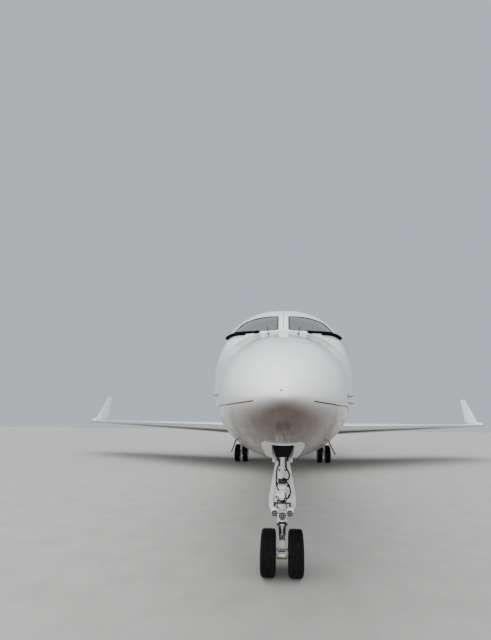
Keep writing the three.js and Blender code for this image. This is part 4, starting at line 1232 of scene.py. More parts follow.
def free_surface(fixed, whole, ends, flat_normal, foot=0.0):
    """Cuts a movable surface out of a whole form, and its room out of the fixed part."""
    moving = carve(copied(whole), hinge_cutter(ends, 0.0, flat_normal, foot), "INTERSECT")
    carve(fixed, hinge_cutter(ends, RUNNING_GAP, flat_normal, foot))
    return moving


print("Running gap:", 1000 * RUNNING_GAP, "mm")

# %% [markdown]
# ### The wing's pieces
# The port wing is one loft with the body and the fairing cut away. The aileron, the flap and the slot
# for the main leg then come out of it, and a copy of the whole wing lends them their shapes.

# %% Wings
FLAP_X = (1.65, 7.9)
AILERON_X = (8.2, 11.2)
UP = Vector((0, 0, 1))
LEG_SLOT = ((1.185, 0.57, 1.0), (2.215, 0.95, 1.64))


def wing_hinge(span):
    return [chord_point(wing_at(x), WING_HINGE) for x in span]


def flap_cutter(gap):
    (inner, _), (outer, _) = wing_hinge(FLAP_X)
    outline = [
        (inner.x - gap, inner.y - gap, 0), (outer.x + gap, outer.y - gap, 0),
        (outer.x + gap, outer.y + 3, 0), (inner.x - gap, inner.y + 3, 0),
    ]
    return solid_object(prism(outline, (0, 0, 1), (0, 0, 3)))


wing = solid_object(loft([level_ring(wing_at(x)) for x in steps_between(*WING_X, 0.5)]))
carve(wing, body_space(6.5, 20.0, 0.5))
carve(wing, fairing_object())
wing_whole = copied(wing)
aileron = free_surface(wing, wing_whole, wing_hinge(AILERON_X), UP)
flap = carve(copied(wing_whole), flap_cutter(0.0), "INTERSECT")
carve(wing, flap_cutter(0.004))
slot = bmesh.new()
add_block(slot, *LEG_SLOT)
carve(wing, solid_object(slot))
bpy.data.objects.remove(wing_whole)
print("Port wing cut, with", len(wing.data.polygons), "faces")

# %% [markdown]
# ### Both sides at once
# The aeroplane is symmetrical, so each starboard piece is a mirrored copy of the port one. A mirrored
# mesh has its faces turned inside out, and the helper turns them back.


# %% Pairs
def dress_pair(thing, name, finish, replaced=None, body="airframe", sharp=32):
    """A port piece and its mirror image; the body's name may end with the side too."""
    for item, (side, _) in zip((thing, mirrored_object(thing)), SIDES):
        nodes = [f"{replaced}_{side}"] if replaced else ()
        dress(item, f"{name}_{side}", finish, nodes, body.format(side), sharp)


def bare_edge(thing, section_of, share=0.035):
    """Paint with a leading edge of polished metal, chosen by how far aft each face lies."""
    add_finishes(thing, PAINT, POLISHED)
    for face in thing.data.polygons:
        place = section_of(face.center)
        if place and (face.center.y - place["y"]) / place["chord"] < share:
            face.material_index = 1


bare_edge(wing, lambda at: wing_at(at.x))
dress_pair(wing, "wing_skin", None, "wing")
dress_pair(flap, "flap_skin", PAINT, "flap")
dress_pair(aileron, "aileron_skin", PAINT, "aileron", "aileron_flap_{}")

# %% [markdown]
# ### Winglets
# The upturned tips cut drag. A short cap carries the wing's section on, and a swept blade rises from it.

# %% Winglets
WINGLET = [
    {"x": 11.62, "y": 3.40, "z": 1.95, "chord": 1.29, "thickness": 0.075},
    {"x": 11.82, "y": 4.98, "z": 3.65, "chord": 0.43, "thickness": 0.07},
]
LEAN = math.radians(84)
BEND_STEPS = 6


def leaning_ring(place, lean, thin=1.0):
    """A section's points, with its thickness turned from upright by a lean."""
    return [
        Vector((
            place["x"] - math.sin(lean) * off * thin, place["y"] + aft,
            place["z"] + math.cos(lean) * off * thin,
        ))
        for aft, off in airfoil(place["chord"], place["thickness"])
    ]


def winglet_rings():
    """Rings from the wing's end, turning up through a short curve into the blade."""
    end = wing_at(WING_X[1])
    rings = [level_ring(wing_at(WING_X[1] + FIT))]
    for step in range(1, BEND_STEPS + 1):
        share = step / BEND_STEPS
        turn = LEAN * share
        rings.append(leaning_ring({
            "x": end["x"] + 0.10 * math.sin(turn), "y": end["y"] + 0.30 * share,
            "z": end["z"] + 0.16 * (1 - math.cos(turn)),
            "chord": end["chord"] + (1.20 - end["chord"]) * share,
            "thickness": end["thickness"] + (0.078 - end["thickness"]) * share,
        }, turn))
    for share in (0.15, 0.4, 0.7, 0.93, 1.0):
        place = blend(*WINGLET, share)
        place["x"] += 0.02
        rings.append(leaning_ring(place, LEAN, 1.0 if share < 1 else 0.55))
    return rings


winglet = solid_object(loft(winglet_rings()))
dress_pair(winglet, "winglet_blade", PAINT, "winglet")

# %% [markdown]
# ## Tail
# The fin is swept and carries the tailplane on top, clear of the engines' exhaust. Its rudder turns on
# a raked hinge, so the gap at its foot is wider: the lower corners dip as it swings. The bullet where
# fin and tailplane meet is spun, and both surfaces are lofts of sections, as the wing is.

# %% Fin and rudder
FIN = [
    {"x": 0, "y": 5.75, "z": 3.30, "chord": 5.50, "thickness": 0.065},
    {"x": 0, "y": 7.18, "z": 3.85, "chord": 4.23, "thickness": 0.09},
    {"x": 0, "y": 10.05, "z": 7.15, "chord": 2.66, "thickness": 0.10},
]
RUDDER_Z = (3.72, 6.86)
FIN_HINGE = 0.71
FOOT_GAP = 0.032
SIDE = Vector((1, 0, 0))


def fin_at(z):
    return blend(FIN[1], FIN[2], (z - FIN[1]["z"]) / (FIN[2]["z"] - FIN[1]["z"]))


def fin_ring(place):
    return [
        Vector((across, place["y"] + aft, place["z"]))
        for aft, across in airfoil(place["chord"], place["thickness"])
    ]


BULLET = [
    (9.65, 0.0), (9.66, 0.03), (9.72, 0.06), (9.85, 0.095), (10.1, 0.128), (10.4, 0.150), (10.85, 0.162),
    (11.3, 0.165), (11.95, 0.150), (12.6, 0.120), (12.95, 0.088), (13.25, 0.040), (13.33, 0.0),
]
BULLET_Z = 7.21
PLANE_ROOT = {"x": 0.0, "y": 10.0, "z": 7.17, "chord": 2.7, "thickness": 0.10}
PLANE_TIP = {"x": 4.87, "y": 12.3, "z": 7.17, "chord": 1.15, "thickness": 0.09}


def plane_at(x):
    return blend(PLANE_ROOT, PLANE_TIP, x / PLANE_TIP["x"])


def plane_rings():
    """From the starboard tip to the port one, rounded off at each end."""
    port = []
    for share in (1.0, 0.99, 0.97, 0.5, 0.0):
        place = blend(PLANE_ROOT, PLANE_TIP, share)
        place["thickness"] *= {1.0: 0.25, 0.99: 0.75}.get(share, 1.0)
        port.append(place)
    starboard = [dict(place, x=-place["x"]) for place in port[:-1]]
    return [level_ring(place) for place in starboard + list(reversed(port))]


fin_rings = [fin_ring(blend(FIN[0], FIN[1], i / 3)) for i in range(3)]
fin_rings += [fin_ring(blend(FIN[1], FIN[2], i / 6)) for i in range(7)]
fin = solid_object(loft(fin_rings))
carve(fin, body_space(17.0, 24.75, 0.25))
tail_top = solid_object(loft(plane_rings()))
carve(fin, tail_top, keep=True)
bullet = bmesh.new()
add_turned(bullet, BULLET, (0, 0, BULLET_Z), (0, 1, 0))
bullet = solid_object(bullet)
carve(fin, bullet, keep=True)
rudder_hinge = [chord_point(fin_at(z), FIN_HINGE) for z in RUDDER_Z]
rudder = free_surface(fin, fin, rudder_hinge, SIDE, FOOT_GAP)
bare_edge(fin, lambda at: fin_at(at.z) if at.z > 4.1 else None)
dress(fin, "fin_skin", None, ["fin"])
dress(rudder, "rudder_skin", PAINT, ["rudder"], "rudder_flap")

# %% [markdown]
# ### Tailplane and elevators
# The tailplane is one piece from tip to tip, joined to the bullet by a union. The port elevator is cut
# from it as the aileron was from the wing, and a mirrored cutter makes the room for the other one.

# %% Tailplane and elevators
ELEVATOR_X = (0.48, 4.6)
PLANE_HINGE = 0.68

elevator_hinge = [chord_point(plane_at(x), PLANE_HINGE) for x in ELEVATOR_X]
elevator = free_surface(tail_top, tail_top, elevator_hinge, UP)
port_gap = hinge_cutter(elevator_hinge, RUNNING_GAP, UP)
carve(tail_top, mirrored_object(port_gap))
bpy.data.objects.remove(port_gap)
carve(tail_top, bullet, "UNION")
bare_edge(tail_top, lambda at: plane_at(abs(at.x)) if abs(at.x) > 0.25 else None)
dress(tail_top, "tailplane_skin", None, ["tailplane"])
dress_pair(elevator, "elevator_skin", PAINT, "elevator", "elevator_flap_{}")

# %% [markdown]
# ## Engines
# Each turbofan hangs on a pylon beside the tail. The nacelle is a body of revolution: a polished lip
# rolls from the outside into the duct, the fan sits a metre behind it, and the exhaust leaves at the
# back round a cone. One profile is spun, and each face takes its material from where it lies, so the
# lip's edge lies where it really is.

# %% Nacelles
ENGINE = Vector((2.12, 0, 2.95))
FAN_Y = 3.65
NACELLE = [
    (0.587, 2.735), (0.600, 2.720), (0.625, 2.722), (0.655, 2.735), (0.690, 2.760), (0.720, 2.860),
    (0.745, 3.000), (0.765, 3.250), (0.775, 3.600), (0.780, 4.100), (0.780, 4.600), (0.765, 5.200),
    (0.745, 5.800), (0.700, 6.400), (0.640, 7.000), (0.585, 7.400), (0.530, 7.750),
]
DUCT = [
    (0.505, 7.750), (0.590, 6.900), (0.587, 5.800), (0.567, 4.600), (0.567, 3.400), (0.558, 3.150),
    (0.550, 2.950), (0.553, 2.850), (0.560, 2.790), (0.572, 2.755), (0.587, 2.735),
]
LIP_END_Y = 2.93


def smooth_profile(points, steps=4):
    line = smooth_line([Vector((radius, along, 0)) for radius, along in points], steps)
    return [(point.y, point.x) for point in line]


outer_line, duct_line = smooth_profile(NACELLE), smooth_profile(DUCT)
profile = outer_line + duct_line[:-1]
cowl = bmesh.new()
add_turned(cowl, profile + [profile[0]], ENGINE, (0, 1, 0), steps=96)
nacelle = add_finishes(solid_object(cowl), PAINT, POLISHED, DARK_METAL)
for face in nacelle.data.polygons:
    radius = math.hypot(face.center.x - ENGINE.x, face.center.z - ENGINE.z)
    if face.center.y < LIP_END_Y:
        face.material_index = 1
    elif radius < 0.60 and face.center.y > 5.6:
        face.material_index = 2
dress_pair(nacelle, "nacelle_skin", None, "nacelle", sharp=40)

# %% [markdown]
# ### Fans
# The blades twist from nearly axial at the root to nearly sideways at the tip, because the tip moves
# faster. Each blade is a loft of five thin curved sections, and copies are turned round the hub.

# %% Fan
FAN_BLADES = 18
HUB = [
    (-0.330, 0.0), (-0.326, 0.018), (-0.310, 0.045), (-0.280, 0.078), (-0.230, 0.115), (-0.180, 0.140),
    (-0.130, 0.160), (-0.080, 0.174), (-0.020, 0.178), (0.130, 0.178), (0.130, 0.0),
]


def blade_ring(radius, half_chord, stagger, thickness, camber, points=10):
    """A thin curved section round a blade at one radius, in the blade's own frame."""
    turn = math.radians(stagger)
    ring = []
    for face in (1, -1):
        for i in range(points):
            t = -1 + 2 * (i + (0 if face > 0 else 1)) / points
            t = t if face > 0 else -t
            bulge = (1 - t * t)
            along, across = t * half_chord, camber * bulge + face * thickness / 2 * max(bulge, 0.12)
            ring.append(Vector((
                along * math.sin(turn) + across * math.cos(turn),
                along * math.cos(turn) - across * math.sin(turn),
                radius,
            )))
    return ring


def fan_blade():
    rings = []
    for i in range(9):
        t = i / 8
        radius = 0.165 + (0.555 - 0.165) * t
        sweep = 0.018 * math.sin(math.pi * t)
        ring = blade_ring(radius, 0.062 + 0.018 * t, 20 + 38 * t, 0.012 - 0.006 * t, 0.008 * (1 - t))
        rings.append([point + Vector((0, sweep, 0)) for point in ring])
    return loft(rings)


def ring_of(bm, part, count, centre, offset=0.0):
    """Adds count copies of a part, turned about the flight axis through a centre."""
    mesh = bpy.data.meshes.new("part")
    part.to_mesh(mesh)
    part.free()
    for i in range(count):
        turned = mesh.copy()
        turn = Matrix.Rotation(2 * math.pi * i / count + offset, 4, "Y")
        turned.transform(Matrix.Translation(centre) @ turn)
        bm.from_mesh(turned)
        bpy.data.meshes.remove(turned)
    bpy.data.meshes.remove(mesh)


fan_centre = ENGINE + Vector((0, FAN_Y, 0))
fan = bmesh.new()
ring_of(fan, fan_blade(), FAN_BLADES, fan_centre)
blade_faces = len(fan.faces)
hub = bmesh.new()
add_turned(hub, HUB, fan_centre, (0, 1, 0))
add_part(fan, hub)
fan = add_finishes(solid_object(fan), TITANIUM, POLISHED)
for face in fan.data.polygons[blade_faces:]:
    face.material_index = 1
dress_pair(fan, "fan_blades", None, "fan", "fan_rotor_{}")

# %% [markdown]
# ### Engine cores and pylons
# Behind the fan, vanes straighten the air round the core, which ends in the exhaust cone. The core is
# one spun profile with a ring of thin blocks on it. The pylon is a short wing between body and cowl,
# and both are cut out of it, so that it meets them exactly.

# %% Core and pylon
CORE = [
    (0.0605, 0.0), (0.0605, 0.06), (0.138, 0.06), (0.138, 0.180), (0.500, 0.250), (1.100, 0.330),
    (2.300, 0.370), (3.300, 0.330), (3.500, 0.250), (3.800, 0.170), (4.000, 0.120), (4.100, 0.060),
    (4.150, 0.0),
]
core = bmesh.new()
add_turned(core, CORE, fan_centre, (0, 1, 0))
vane = bmesh.new()
add_block(vane, (-0.008, 0.45, 0.2), (0.008, 0.70, 0.5635), 0.003)
ring_of(core, vane, 21, fan_centre, offset=math.pi / 28)
dress_pair(solid_object(core), "engine_core", HOT_METAL, "engine")

pylon = solid_object(loft([
    level_ring({"x": x, "y": y, "z": z, "chord": chord, "thickness": 0.055})
    for x, y, z, chord in ((0.8, 3.5, 2.9, 4.3), (1.25, 3.6, 2.915, 4.0), (1.7, 3.7, 2.93, 3.7))
]))
nacelle_space = bmesh.new()
space_line = [(along, radius + FIT) for along, radius in outer_line[8:]]
add_turned(nacelle_space, [(2.72, 0.0), *space_line, (7.75, 0.0)], ENGINE, (0, 1, 0), steps=96)
carve(pylon, solid_object(nacelle_space))
carve(pylon, body_space(16.0, 24.5, 0.25))
dress_pair(pylon, "pylon_skin", PAINT, "pylon")

# %% [markdown]
# ## Wheels and tyres
# A tyre is one profile spun about the axle, with grooves between its ribs and a rounded shoulder. The
# wheel is a spun dish with its bolts round it. Tyre and wheel are separate pieces, because
# rubber and machined metal look nothing alike.

# %% Wheel forms
NOSE_WHEEL = {"radius": 0.267, "width": 0.184, "rim": 0.130, "offset": 0.168}
MAIN_WHEEL = {"radius": 0.432, "width": 0.235, "rim": 0.215, "offset": 0.202}
NOSE_AXLE = Vector((0, -10.85, 0.264716))
MAIN_AXLE = Vector((2.085, 0.76, 0.428304))
GROOVES = (0.50, 0.17)
GROOVE_WIDTH = 0.0052
GROOVE_DEPTH = 0.008


def tyre_profile(size):
    """A tyre's section as (across, radius) points, from the outboard bead to the inboard one."""
    radius, half, rim = size["radius"], size["width"] / 2, size["rim"]
    height = radius - rim
    side = [
        (0.74, 0.006), (0.84, 0.10), (0.955, 0.28), (1.0, 0.50), (0.975, 0.70), (0.88, 0.885),
        (0.74, 0.965), (0.60, 0.995),
    ]
    line = smooth_line([Vector((across * half, rim + share * height, 0)) for across, share in side], 3)
    outboard = [(point.x, point.y) for point in line]
    for place in GROOVES:
        centre = place * half
        for step, drop in ((1, 0), (0.6, GROOVE_DEPTH), (-0.6, GROOVE_DEPTH), (-1, 0)):
            outboard.append((centre + step * GROOVE_WIDTH, radius - drop))
    return outboard + [(-across, height) for across, height in reversed(outboard)]


def tyre(size, centre):
    """A tyre that stands on the floor: what would sink in is pressed flat."""
    profile = tyre_profile(size)
    bm = bmesh.new()
    add_turned(bm, profile + [profile[0]], centre, (1, 0, 0), steps=96)
    for vertex in bm.verts:
        vertex.co.z = max(vertex.co.z, 0.0)
    return bm


RIM = [
    (0.66, 0.0), (0.66, 0.16), (0.58, 0.19), (0.58, 0.36), (0.40, 0.42), (0.22, 0.60), (0.20, 0.74),
    (0.30, 0.86), (0.62, 0.93), (0.82, 0.96), (0.90, 1.03), (0.90, 1.06), (0.85, 1.065), (0.81, 1.01),
    (0.76, 0.995), (-0.76, 0.995), (-0.81, 1.01), (-0.85, 1.065), (-0.90, 1.06), (-0.90, 1.03),
    (-0.82, 0.96), (-0.50, 0.90), (-0.35, 0.80), (-0.35, 0.50), (-0.50, 0.40), (-0.50, 0.0),
]


def add_rim(bm, size, centre, sign, bolts):
    """One wheel with its dish outboard, bolts round the dish and a cap on the axle."""
    half, rim = size["width"] / 2, size["rim"]
    profile = [(sign * across * half, share * rim) for across, share in RIM]
    add_turned(bm, profile, centre, (1, 0, 0), steps=96)
    for i in range(bolts):
        turn = 2 * math.pi * i / bolts
        at = Vector(centre) + Vector((0, math.cos(turn), math.sin(turn))) * rim * 0.50
        foot = at + Vector((sign * half * 0.24, 0, 0))
        add_rod(bm, foot, foot + Vector((sign * half * 0.17, 0, 0)), rim * 0.045, sides=6)


def wheel_pair(size, axle, axle_radius, bolts):
    """Both wheels of one leg and the axle that joins them."""
    bm = bmesh.new()
    out = Vector((size["offset"], 0, 0))
    add_rim(bm, size, axle + out, 1, bolts)
    add_rim(bm, size, axle - out, -1, bolts)
    add_rod(bm, axle - out, axle + out, axle_radius)
    return bm


print("Tyre section:", len(tyre_profile(NOSE_WHEEL)), "points")

# %% [markdown]
# ### Wheels on their axles
# The two wheels of a leg and their axle turn together as one body, so they are one piece of metal, and
# each tyre is a piece on the same body. The nose has one such pair and each main leg another.


# %% Wheels on their axles
def add_wheels(label, size, axle, axle_radius, bolts, body, rims, tyres):
    """A pair of wheels with tyres; tyres names each tyre, its CAD node and its way out."""
    metal_pair = wheel_pair(size, axle, axle_radius, bolts)
    make_piece(label, metal_pair, WHEEL_METAL, [rims], body)
    for name, node, way in tyres:
        centre = axle + Vector((size["offset"] * way, 0, 0))
        make_piece(name, tyre(size, centre), TYRE_RUBBER, [node], body)


add_wheels(
    "nose_wheels", NOSE_WHEEL, NOSE_AXLE, 0.026, 8, "nose_wheels", "nose_wheel_rims",
    [(f"nose_tyre_rubber_{side}", f"nose_tyre_{side}", sign) for side, sign in SIDES],
)
for side, sign in SIDES:
    add_wheels(
        f"main_wheels_metal_{side}", MAIN_WHEEL, Vector((MAIN_AXLE.x * sign, *MAIN_AXLE[1:])), 0.045, 10,
        f"main_wheels_{side}", f"main_{side}_wheel_rims",
        [
            (f"main_tyre_rubber_{side}_{place}", f"main_{side}_tyre_{place}", way)
            for place, way in (("outer", sign), ("inner", -sign))
        ],
    )

# %% [markdown]
# ## Nose gear
# The nose leg is an oil-and-air spring: a bright chromed piston slides in a white enamelled cylinder.
# A forged collar carries the steering, scissor links keep the wheels in line and a brace runs forward.
# Each forging is a few rods and rounded blocks joined in one mesh, so its edges catch the light.

# %% Nose leg
LEG_Y = -10.85
AXLE_Z = NOSE_AXLE.z
WELL_ROOF = 1.5547
EDGE = 0.006


def on_leg(x, y, z):
    """A place near the nose leg, with y measured from the leg's centre line."""
    return Vector((x, LEG_Y + y, z))


def leg_rod(bm, start, end, radius, **form):
    add_rod(bm, on_leg(*start), on_leg(*end), radius, **form)


def leg_block(bm, low, high, edge=0.0):
    add_block(bm, on_leg(*low), on_leg(*high), edge)


def add_collar(bm, low, high, radius, edge):
    """A round length of the leg itself."""
    leg_rod(bm, (0, 0, low), (0, 0, high), radius, sides=48, edge=edge)


leg = bmesh.new()
leg_block(leg, (-0.150, -0.06, WELL_ROOF - 0.11), (0.150, 0.06, WELL_ROOF), EDGE)
add_collar(leg, 0.66, WELL_ROOF - 0.05, 0.050, 0.003)
add_collar(leg, 0.66, 0.72, 0.058, 0.005)
add_collar(leg, 0.89, 1.04, 0.062, 0.005)
leg_block(leg, (-0.042, -0.105, 0.905), (0.042, -0.03, 1.015), 0.008)
leg_rod(leg, (0, -0.02, 1.15), (0, -0.32, WELL_ROOF - 0.06), 0.026)
leg_block(leg, (-0.06, -0.35, WELL_ROOF - 0.11), (0.06, -0.29, WELL_ROOF), EDGE)
make_piece("nose_leg", leg, GEAR_ENAMEL, ["nose_gear_leg"])

# %% [markdown]
# ### Steered fork and piston
# Everything below the steering collar turns with the wheels. The scissor links let the piston slide but
# not turn, and the upper one is an open frame, so that the piston shows between its two arms.

# %% Steered fork
LINK_KNEE = (0, -0.190, 0.455)


def add_link(bm, start, end, widths, thickness=0.020):
    """A flat tapered link in the middle plane, with a round eye at each end."""
    start, end = Vector(start), Vector(end)
    along = (end - start).normalized()
    across = along.cross(Vector((1, 0, 0))) * thickness / 2
    ends = [(start, Vector((widths[0] / 2, 0, 0))), (end, Vector((widths[1] / 2, 0, 0)))]
    plate = loft([
        [at - side - across, at + side - across, at + side + across, at - side + across]
        for at, side in ends
    ])
    round_edges(plate, plate.edges[:], 0.004)
    add_part(bm, plate)
    for at, side in ends:
        add_rod(bm, at - side, at + side, 0.016, sides=24, edge=0.002)


fork = bmesh.new()
add_collar(fork, 0.596, 0.652, 0.060, EDGE)
add_collar(fork, AXLE_Z - 0.04, 0.42, 0.044, EDGE)
leg_rod(fork, (-0.07, 0, AXLE_Z), (0.07, 0, AXLE_Z), 0.048, sides=48, edge=0.004)
add_link(fork, on_leg(*LINK_KNEE), on_leg(0, -0.040, 0.300), (0.060, 0.110))
leg_block(fork, (-0.048, -0.082, AXLE_Z - 0.022), (0.048, -0.03, AXLE_Z + 0.014), 0.004)
make_piece("nose_fork", fork, GEAR_ENAMEL, ["nose_gear_fork"], "nose_steering")

upper_link = bmesh.new()
for sign in (1, -1):
    leg_rod(upper_link, (sign * 0.041, -0.052, 0.624), (sign * 0.024, *LINK_KNEE[1:]), 0.010, sides=24)
for y, z, half in ((-0.052, 0.624, 0.050), (*LINK_KNEE[1:], 0.030)):
    leg_rod(upper_link, (-half, y, z), (half, y, z), 0.016, sides=24, edge=0.002)
make_piece("nose_upper_link", upper_link, DARK_METAL, body="nose_steering")

piston = bmesh.new()
leg_rod(piston, (0, 0, 0.40), (0, 0, 0.88), 0.028, sides=64)
make_piece("nose_piston", piston, CHROME, body="nose_steering")

# %% [markdown]
# ### Rear door panel
# A flared panel rides behind the leg and closes the bay when the gear is up. It is a flat prism with
# two ribs along its edges, and small blocks hold it to the leg.

# %% Rear door panel
panel = prism(
    [
        (-0.100, 0, 1.300), (-0.175, 0, 0.900), (-0.175, 0, 0.760), (-0.140, 0, 0.715),
        (0.140, 0, 0.715), (0.175, 0, 0.760), (0.175, 0, 0.900), (0.100, 0, 1.300),
    ],
    (0, LEG_Y + 0.150, 0), (0, LEG_Y + 0.168, 0),
)
leg_block(panel, (-0.02, 0.06, 0.93), (0.02, 0.155, 0.98), 0.004)
leg_block(panel, (-0.02, 0.13, 1.25), (0.02, 0.165, 1.385), 0.004)
leg_block(panel, (-0.098, 0.150, 1.28), (0.098, 0.166, 1.43), 0.003)
RIB = ((0.060, 1.29), (0.068, 1.29), (0.128, 0.90), (0.128, 0.74), (0.120, 0.74), (0.120, 0.90))
for sign in (1, -1):
    outline = [(sign * x, 0, z) for x, z in RIB]
    add_part(panel, prism(outline, (0, LEG_Y + 0.138, 0), (0, LEG_Y + 0.152, 0)))
make_piece("nose_rear_door", panel, GEAR_ENAMEL, ["nose_gear_rear_door"])

# %% [markdown]
# ### Landing lamps
# Three lamps on a bracket face forward: a larger one between two that wear hoods. Housing and lens are
# separate pieces, because the one is enamel and the other a dark face with bright dots.

# %% Landing lamps
LAMPS = [(-0.092, 0.765, 0.040), (0.0, 0.735, 0.047), (0.092, 0.765, 0.040)]
HOOD = 1.06

lamps = bmesh.new()
lenses = bmesh.new()
for x, z, radius in LAMPS:
    leg_rod(lamps, (x, -0.157, z), (x, -0.095, z), radius, end_radius=radius * 0.7, sides=48, edge=0.003)
    leg_rod(lenses, (x, -0.165, z), (x, -0.155, z), radius * 0.93, sides=48, edge=0.002)
for x, z, radius in LAMPS[::2]:
    hood_x, hood_z = x * HOOD, z + 0.019
    leg_rod(
        lamps, (hood_x, -0.150, hood_z), (hood_x, -0.092, hood_z), radius * HOOD, sides=48, edge=0.004
    )
leg_block(lamps, (-0.10, -0.10, 0.735), (0.10, -0.07, 0.775), 0.004)
leg_block(lamps, (-0.025, -0.095, 0.735), (0.025, -0.051, 0.775), 0.003)
make_piece("lamp_housings", lamps, GEAR_ENAMEL, ["landing_lamps"])
make_piece("lamp_lenses", lenses, LENS)

# %% [markdown]
# ### Hoses on the nose leg
# Steering and brake lines run down the leg in short loops. Each is a smooth curve through a few points
# with both its ends buried in the leg, which reads as a fitting.

# %% Hoses
HOSES = [
    (0.009, [(0.01, -0.04, 1.33), (0.05, -0.10, 1.28), (0.085, -0.11, 1.20), (0.06, -0.11, 1.145),
             (0.0, -0.045, 1.16)]),
    (0.009, [(0.03, -0.04, 1.13), (0.078, -0.09, 1.08), (0.098, -0.10, 1.00), (0.075, -0.09, 0.93),
             (0.03, -0.045, 0.90)]),
    (0.007, [(0.02, -0.08, 0.99), (0.045, -0.12, 0.96), (0.025, -0.125, 0.92), (0.0, -0.04, 0.86)]),
    (0.008, [(-0.02, -0.04, 1.36), (-0.07, -0.085, 1.27), (-0.075, -0.09, 1.16), (-0.07, -0.085, 1.06),
             (-0.03, -0.07, 0.985)]),
    (0.006, [(-0.03, -0.08, 0.93), (-0.06, -0.10, 0.89), (-0.062, -0.09, 0.82), (-0.04, -0.035, 0.79)]),
    (0.006, [(0.03, -0.035, 0.87), (0.055, -0.07, 0.83), (0.06, -0.07, 0.77), (0.035, -0.04, 0.71)]),
]
hoses = bmesh.new()
for radius, places in HOSES:
    add_hose(hoses, [on_leg(*place) for place in places], radius, sides=16, steps=6)
make_piece("nose_hoses", hoses, BLACK_RUBBER)

# %% [markdown]
# ### Clamps and steering unit
# Clamps hold the hoses, brackets carry the lamps, and the steering unit is a block with a capped
# cylinder on each side. They are bands round the leg and rounded blocks, in dark metal and enamel.


# %% Clamps and brackets
def block_pair(bm, x, half, low, high, edge):
    """A block on each side of the leg; low and high are (y, z) corners."""
    for sign in (1, -1):
        leg_block(bm, (sign * x - half, *low), (sign * x + half, *high), edge)


clamps = bmesh.new()
for low, high, radius in (
    (1.085, 1.145, 0.056), (0.868, 0.886, 0.056), (1.24, 1.262, 0.054), (0.722, 0.73, 0.060),
):
    add_collar(clamps, low, high, radius, 0.002)
leg_block(clamps, (-0.055, -0.085, 1.30), (0.055, -0.055, 1.40), 0.006)
leg_block(clamps, (-0.028, -0.085, 1.095), (0.028, -0.045, 1.135), 0.005)
leg_block(clamps, (-0.104, -0.106, 0.858), (0.104, -0.088, 0.876), 0.003)
block_pair(clamps, 0.092, 0.012, (-0.11, 0.79), (-0.085, 0.865), 0.003)
block_pair(clamps, 0.062, 0.016, (0.138, 1.34), (0.152, 1.39), 0.003)
for x, z, size in (
    (-0.066, 1.085, 0.013), (-0.070, 0.935, 0.012), (0.072, 1.065, 0.014), (0.078, 0.945, 0.011),
):
    leg_block(clamps, (x - size, -0.086, z - size), (x + size, -0.030, z + size), 0.004)
for x in (-0.030, 0.030):
    for z in (0.925, 0.995):
        leg_rod(clamps, (x, -0.111, z), (x, -0.100, z), 0.008, sides=6)
make_piece("nose_clamps", clamps, DARK_METAL)

caps = bmesh.new()
for sign in (1, -1):
    for z, end, radius in ((1.045, 0.085, 0.017), (0.955, 0.072, 0.022)):
        leg_rod(caps, (sign * 0.040, -0.068, z), (sign * end, -0.068, z), radius, edge=0.003)
block_pair(caps, 0.115, 0.018, (0.11, 1.33), (0.13, 1.46), 0.004)
leg_block(caps, (-0.040, -0.10, 1.02), (0.040, -0.045, 1.075), 0.008)
make_piece("steering_unit", caps, GEAR_ENAMEL)

# %% [markdown]
# ### Fittings that steer with the wheels
# Guard rods, link bolts and the pin for the tow bar sit below the collar, so they ride on the steered
# body. The pin has the yellowish plating that tow fittings wear.

# %% Fittings that steer with the wheels
guards = bmesh.new()
for sign in (1, -1):
    for start, end, radius, sides in (
        ((0.036, -0.012, 0.43), (0.036, -0.012, 0.62), 0.007, 16),
        ((0.045, -0.05, 0.605), (0.068, -0.05, 0.605), 0.014, 6),
        ((0.018, -0.085, 0.335), (0.018, -0.100, 0.335), 0.008, 6),
    ):
        leg_rod(guards, (sign * start[0], *start[1:]), (sign * end[0], *end[1:]), radius, sides=sides)
for z in (0.455, 0.30):
    leg_rod(guards, (-0.045, -0.055, z), (0.045, -0.055, z), 0.009, sides=16)
make_piece("fork_fittings", guards, DARK_METAL, body="nose_steering")

blocks = bmesh.new()
block_pair(blocks, 0.030, 0.014, (-0.066, 0.385), (-0.035, 0.475), 0.004)
make_piece("fork_blocks", blocks, GEAR_ENAMEL, body="nose_steering")

bar = bmesh.new()
leg_rod(bar, (-0.066, -0.070, 0.226), (0.066, -0.070, 0.226), 0.011, edge=0.002)
make_piece("tow_bar_pin", bar, CADMIUM, body="nose_steering")

# %% [markdown]
# ## Main gear
# Each main leg is a trailing pair of scissor links on a thick cylinder, with a side brace to the wing
# root and a door panel that rides on the leg's outer side.

# %% Main gear
main = bmesh.new()
X, Y, TOP = MAIN_AXLE.x, MAIN_AXLE.y, 1.6397
add_rod(main, (X, Y, 0.78), (X, Y, TOP - 0.04), 0.088, sides=48, edge=0.005)
add_block(main, (X - 0.12, Y - 0.12, TOP - 0.12), (X + 0.12, Y + 0.12, TOP), 0.01)
add_rod(main, (X - 0.078, Y, MAIN_AXLE.z), (X + 0.078, Y, MAIN_AXLE.z), 0.085, sides=48, edge=0.005)
add_rod(main, (X - 0.06, Y, 1.15), (X - 0.64, Y, TOP - 0.06), 0.038)
add_block(main, (X - 0.70, Y - 0.06, TOP - 0.11), (X - 0.60, Y + 0.06, TOP), 0.008)
links = bmesh.new()
add_link(links, (X, Y - 0.08, 0.82), (X, Y - 0.26, 0.66), (0.12, 0.07))
add_link(links, (X, Y - 0.26, 0.66), (X, Y - 0.06, 0.47), (0.07, 0.12))
main_leg = combine([solid_object(main), solid_object(links)])
dress_pair(main_leg, "main_leg", GEAR_ENAMEL, "main_gear_leg")

main_piston = bmesh.new()
add_rod(main_piston, (X, Y, MAIN_AXLE.z), (X, Y, 0.80), 0.062, sides=64)
dress_pair(solid_object(main_piston), "main_piston", CHROME)

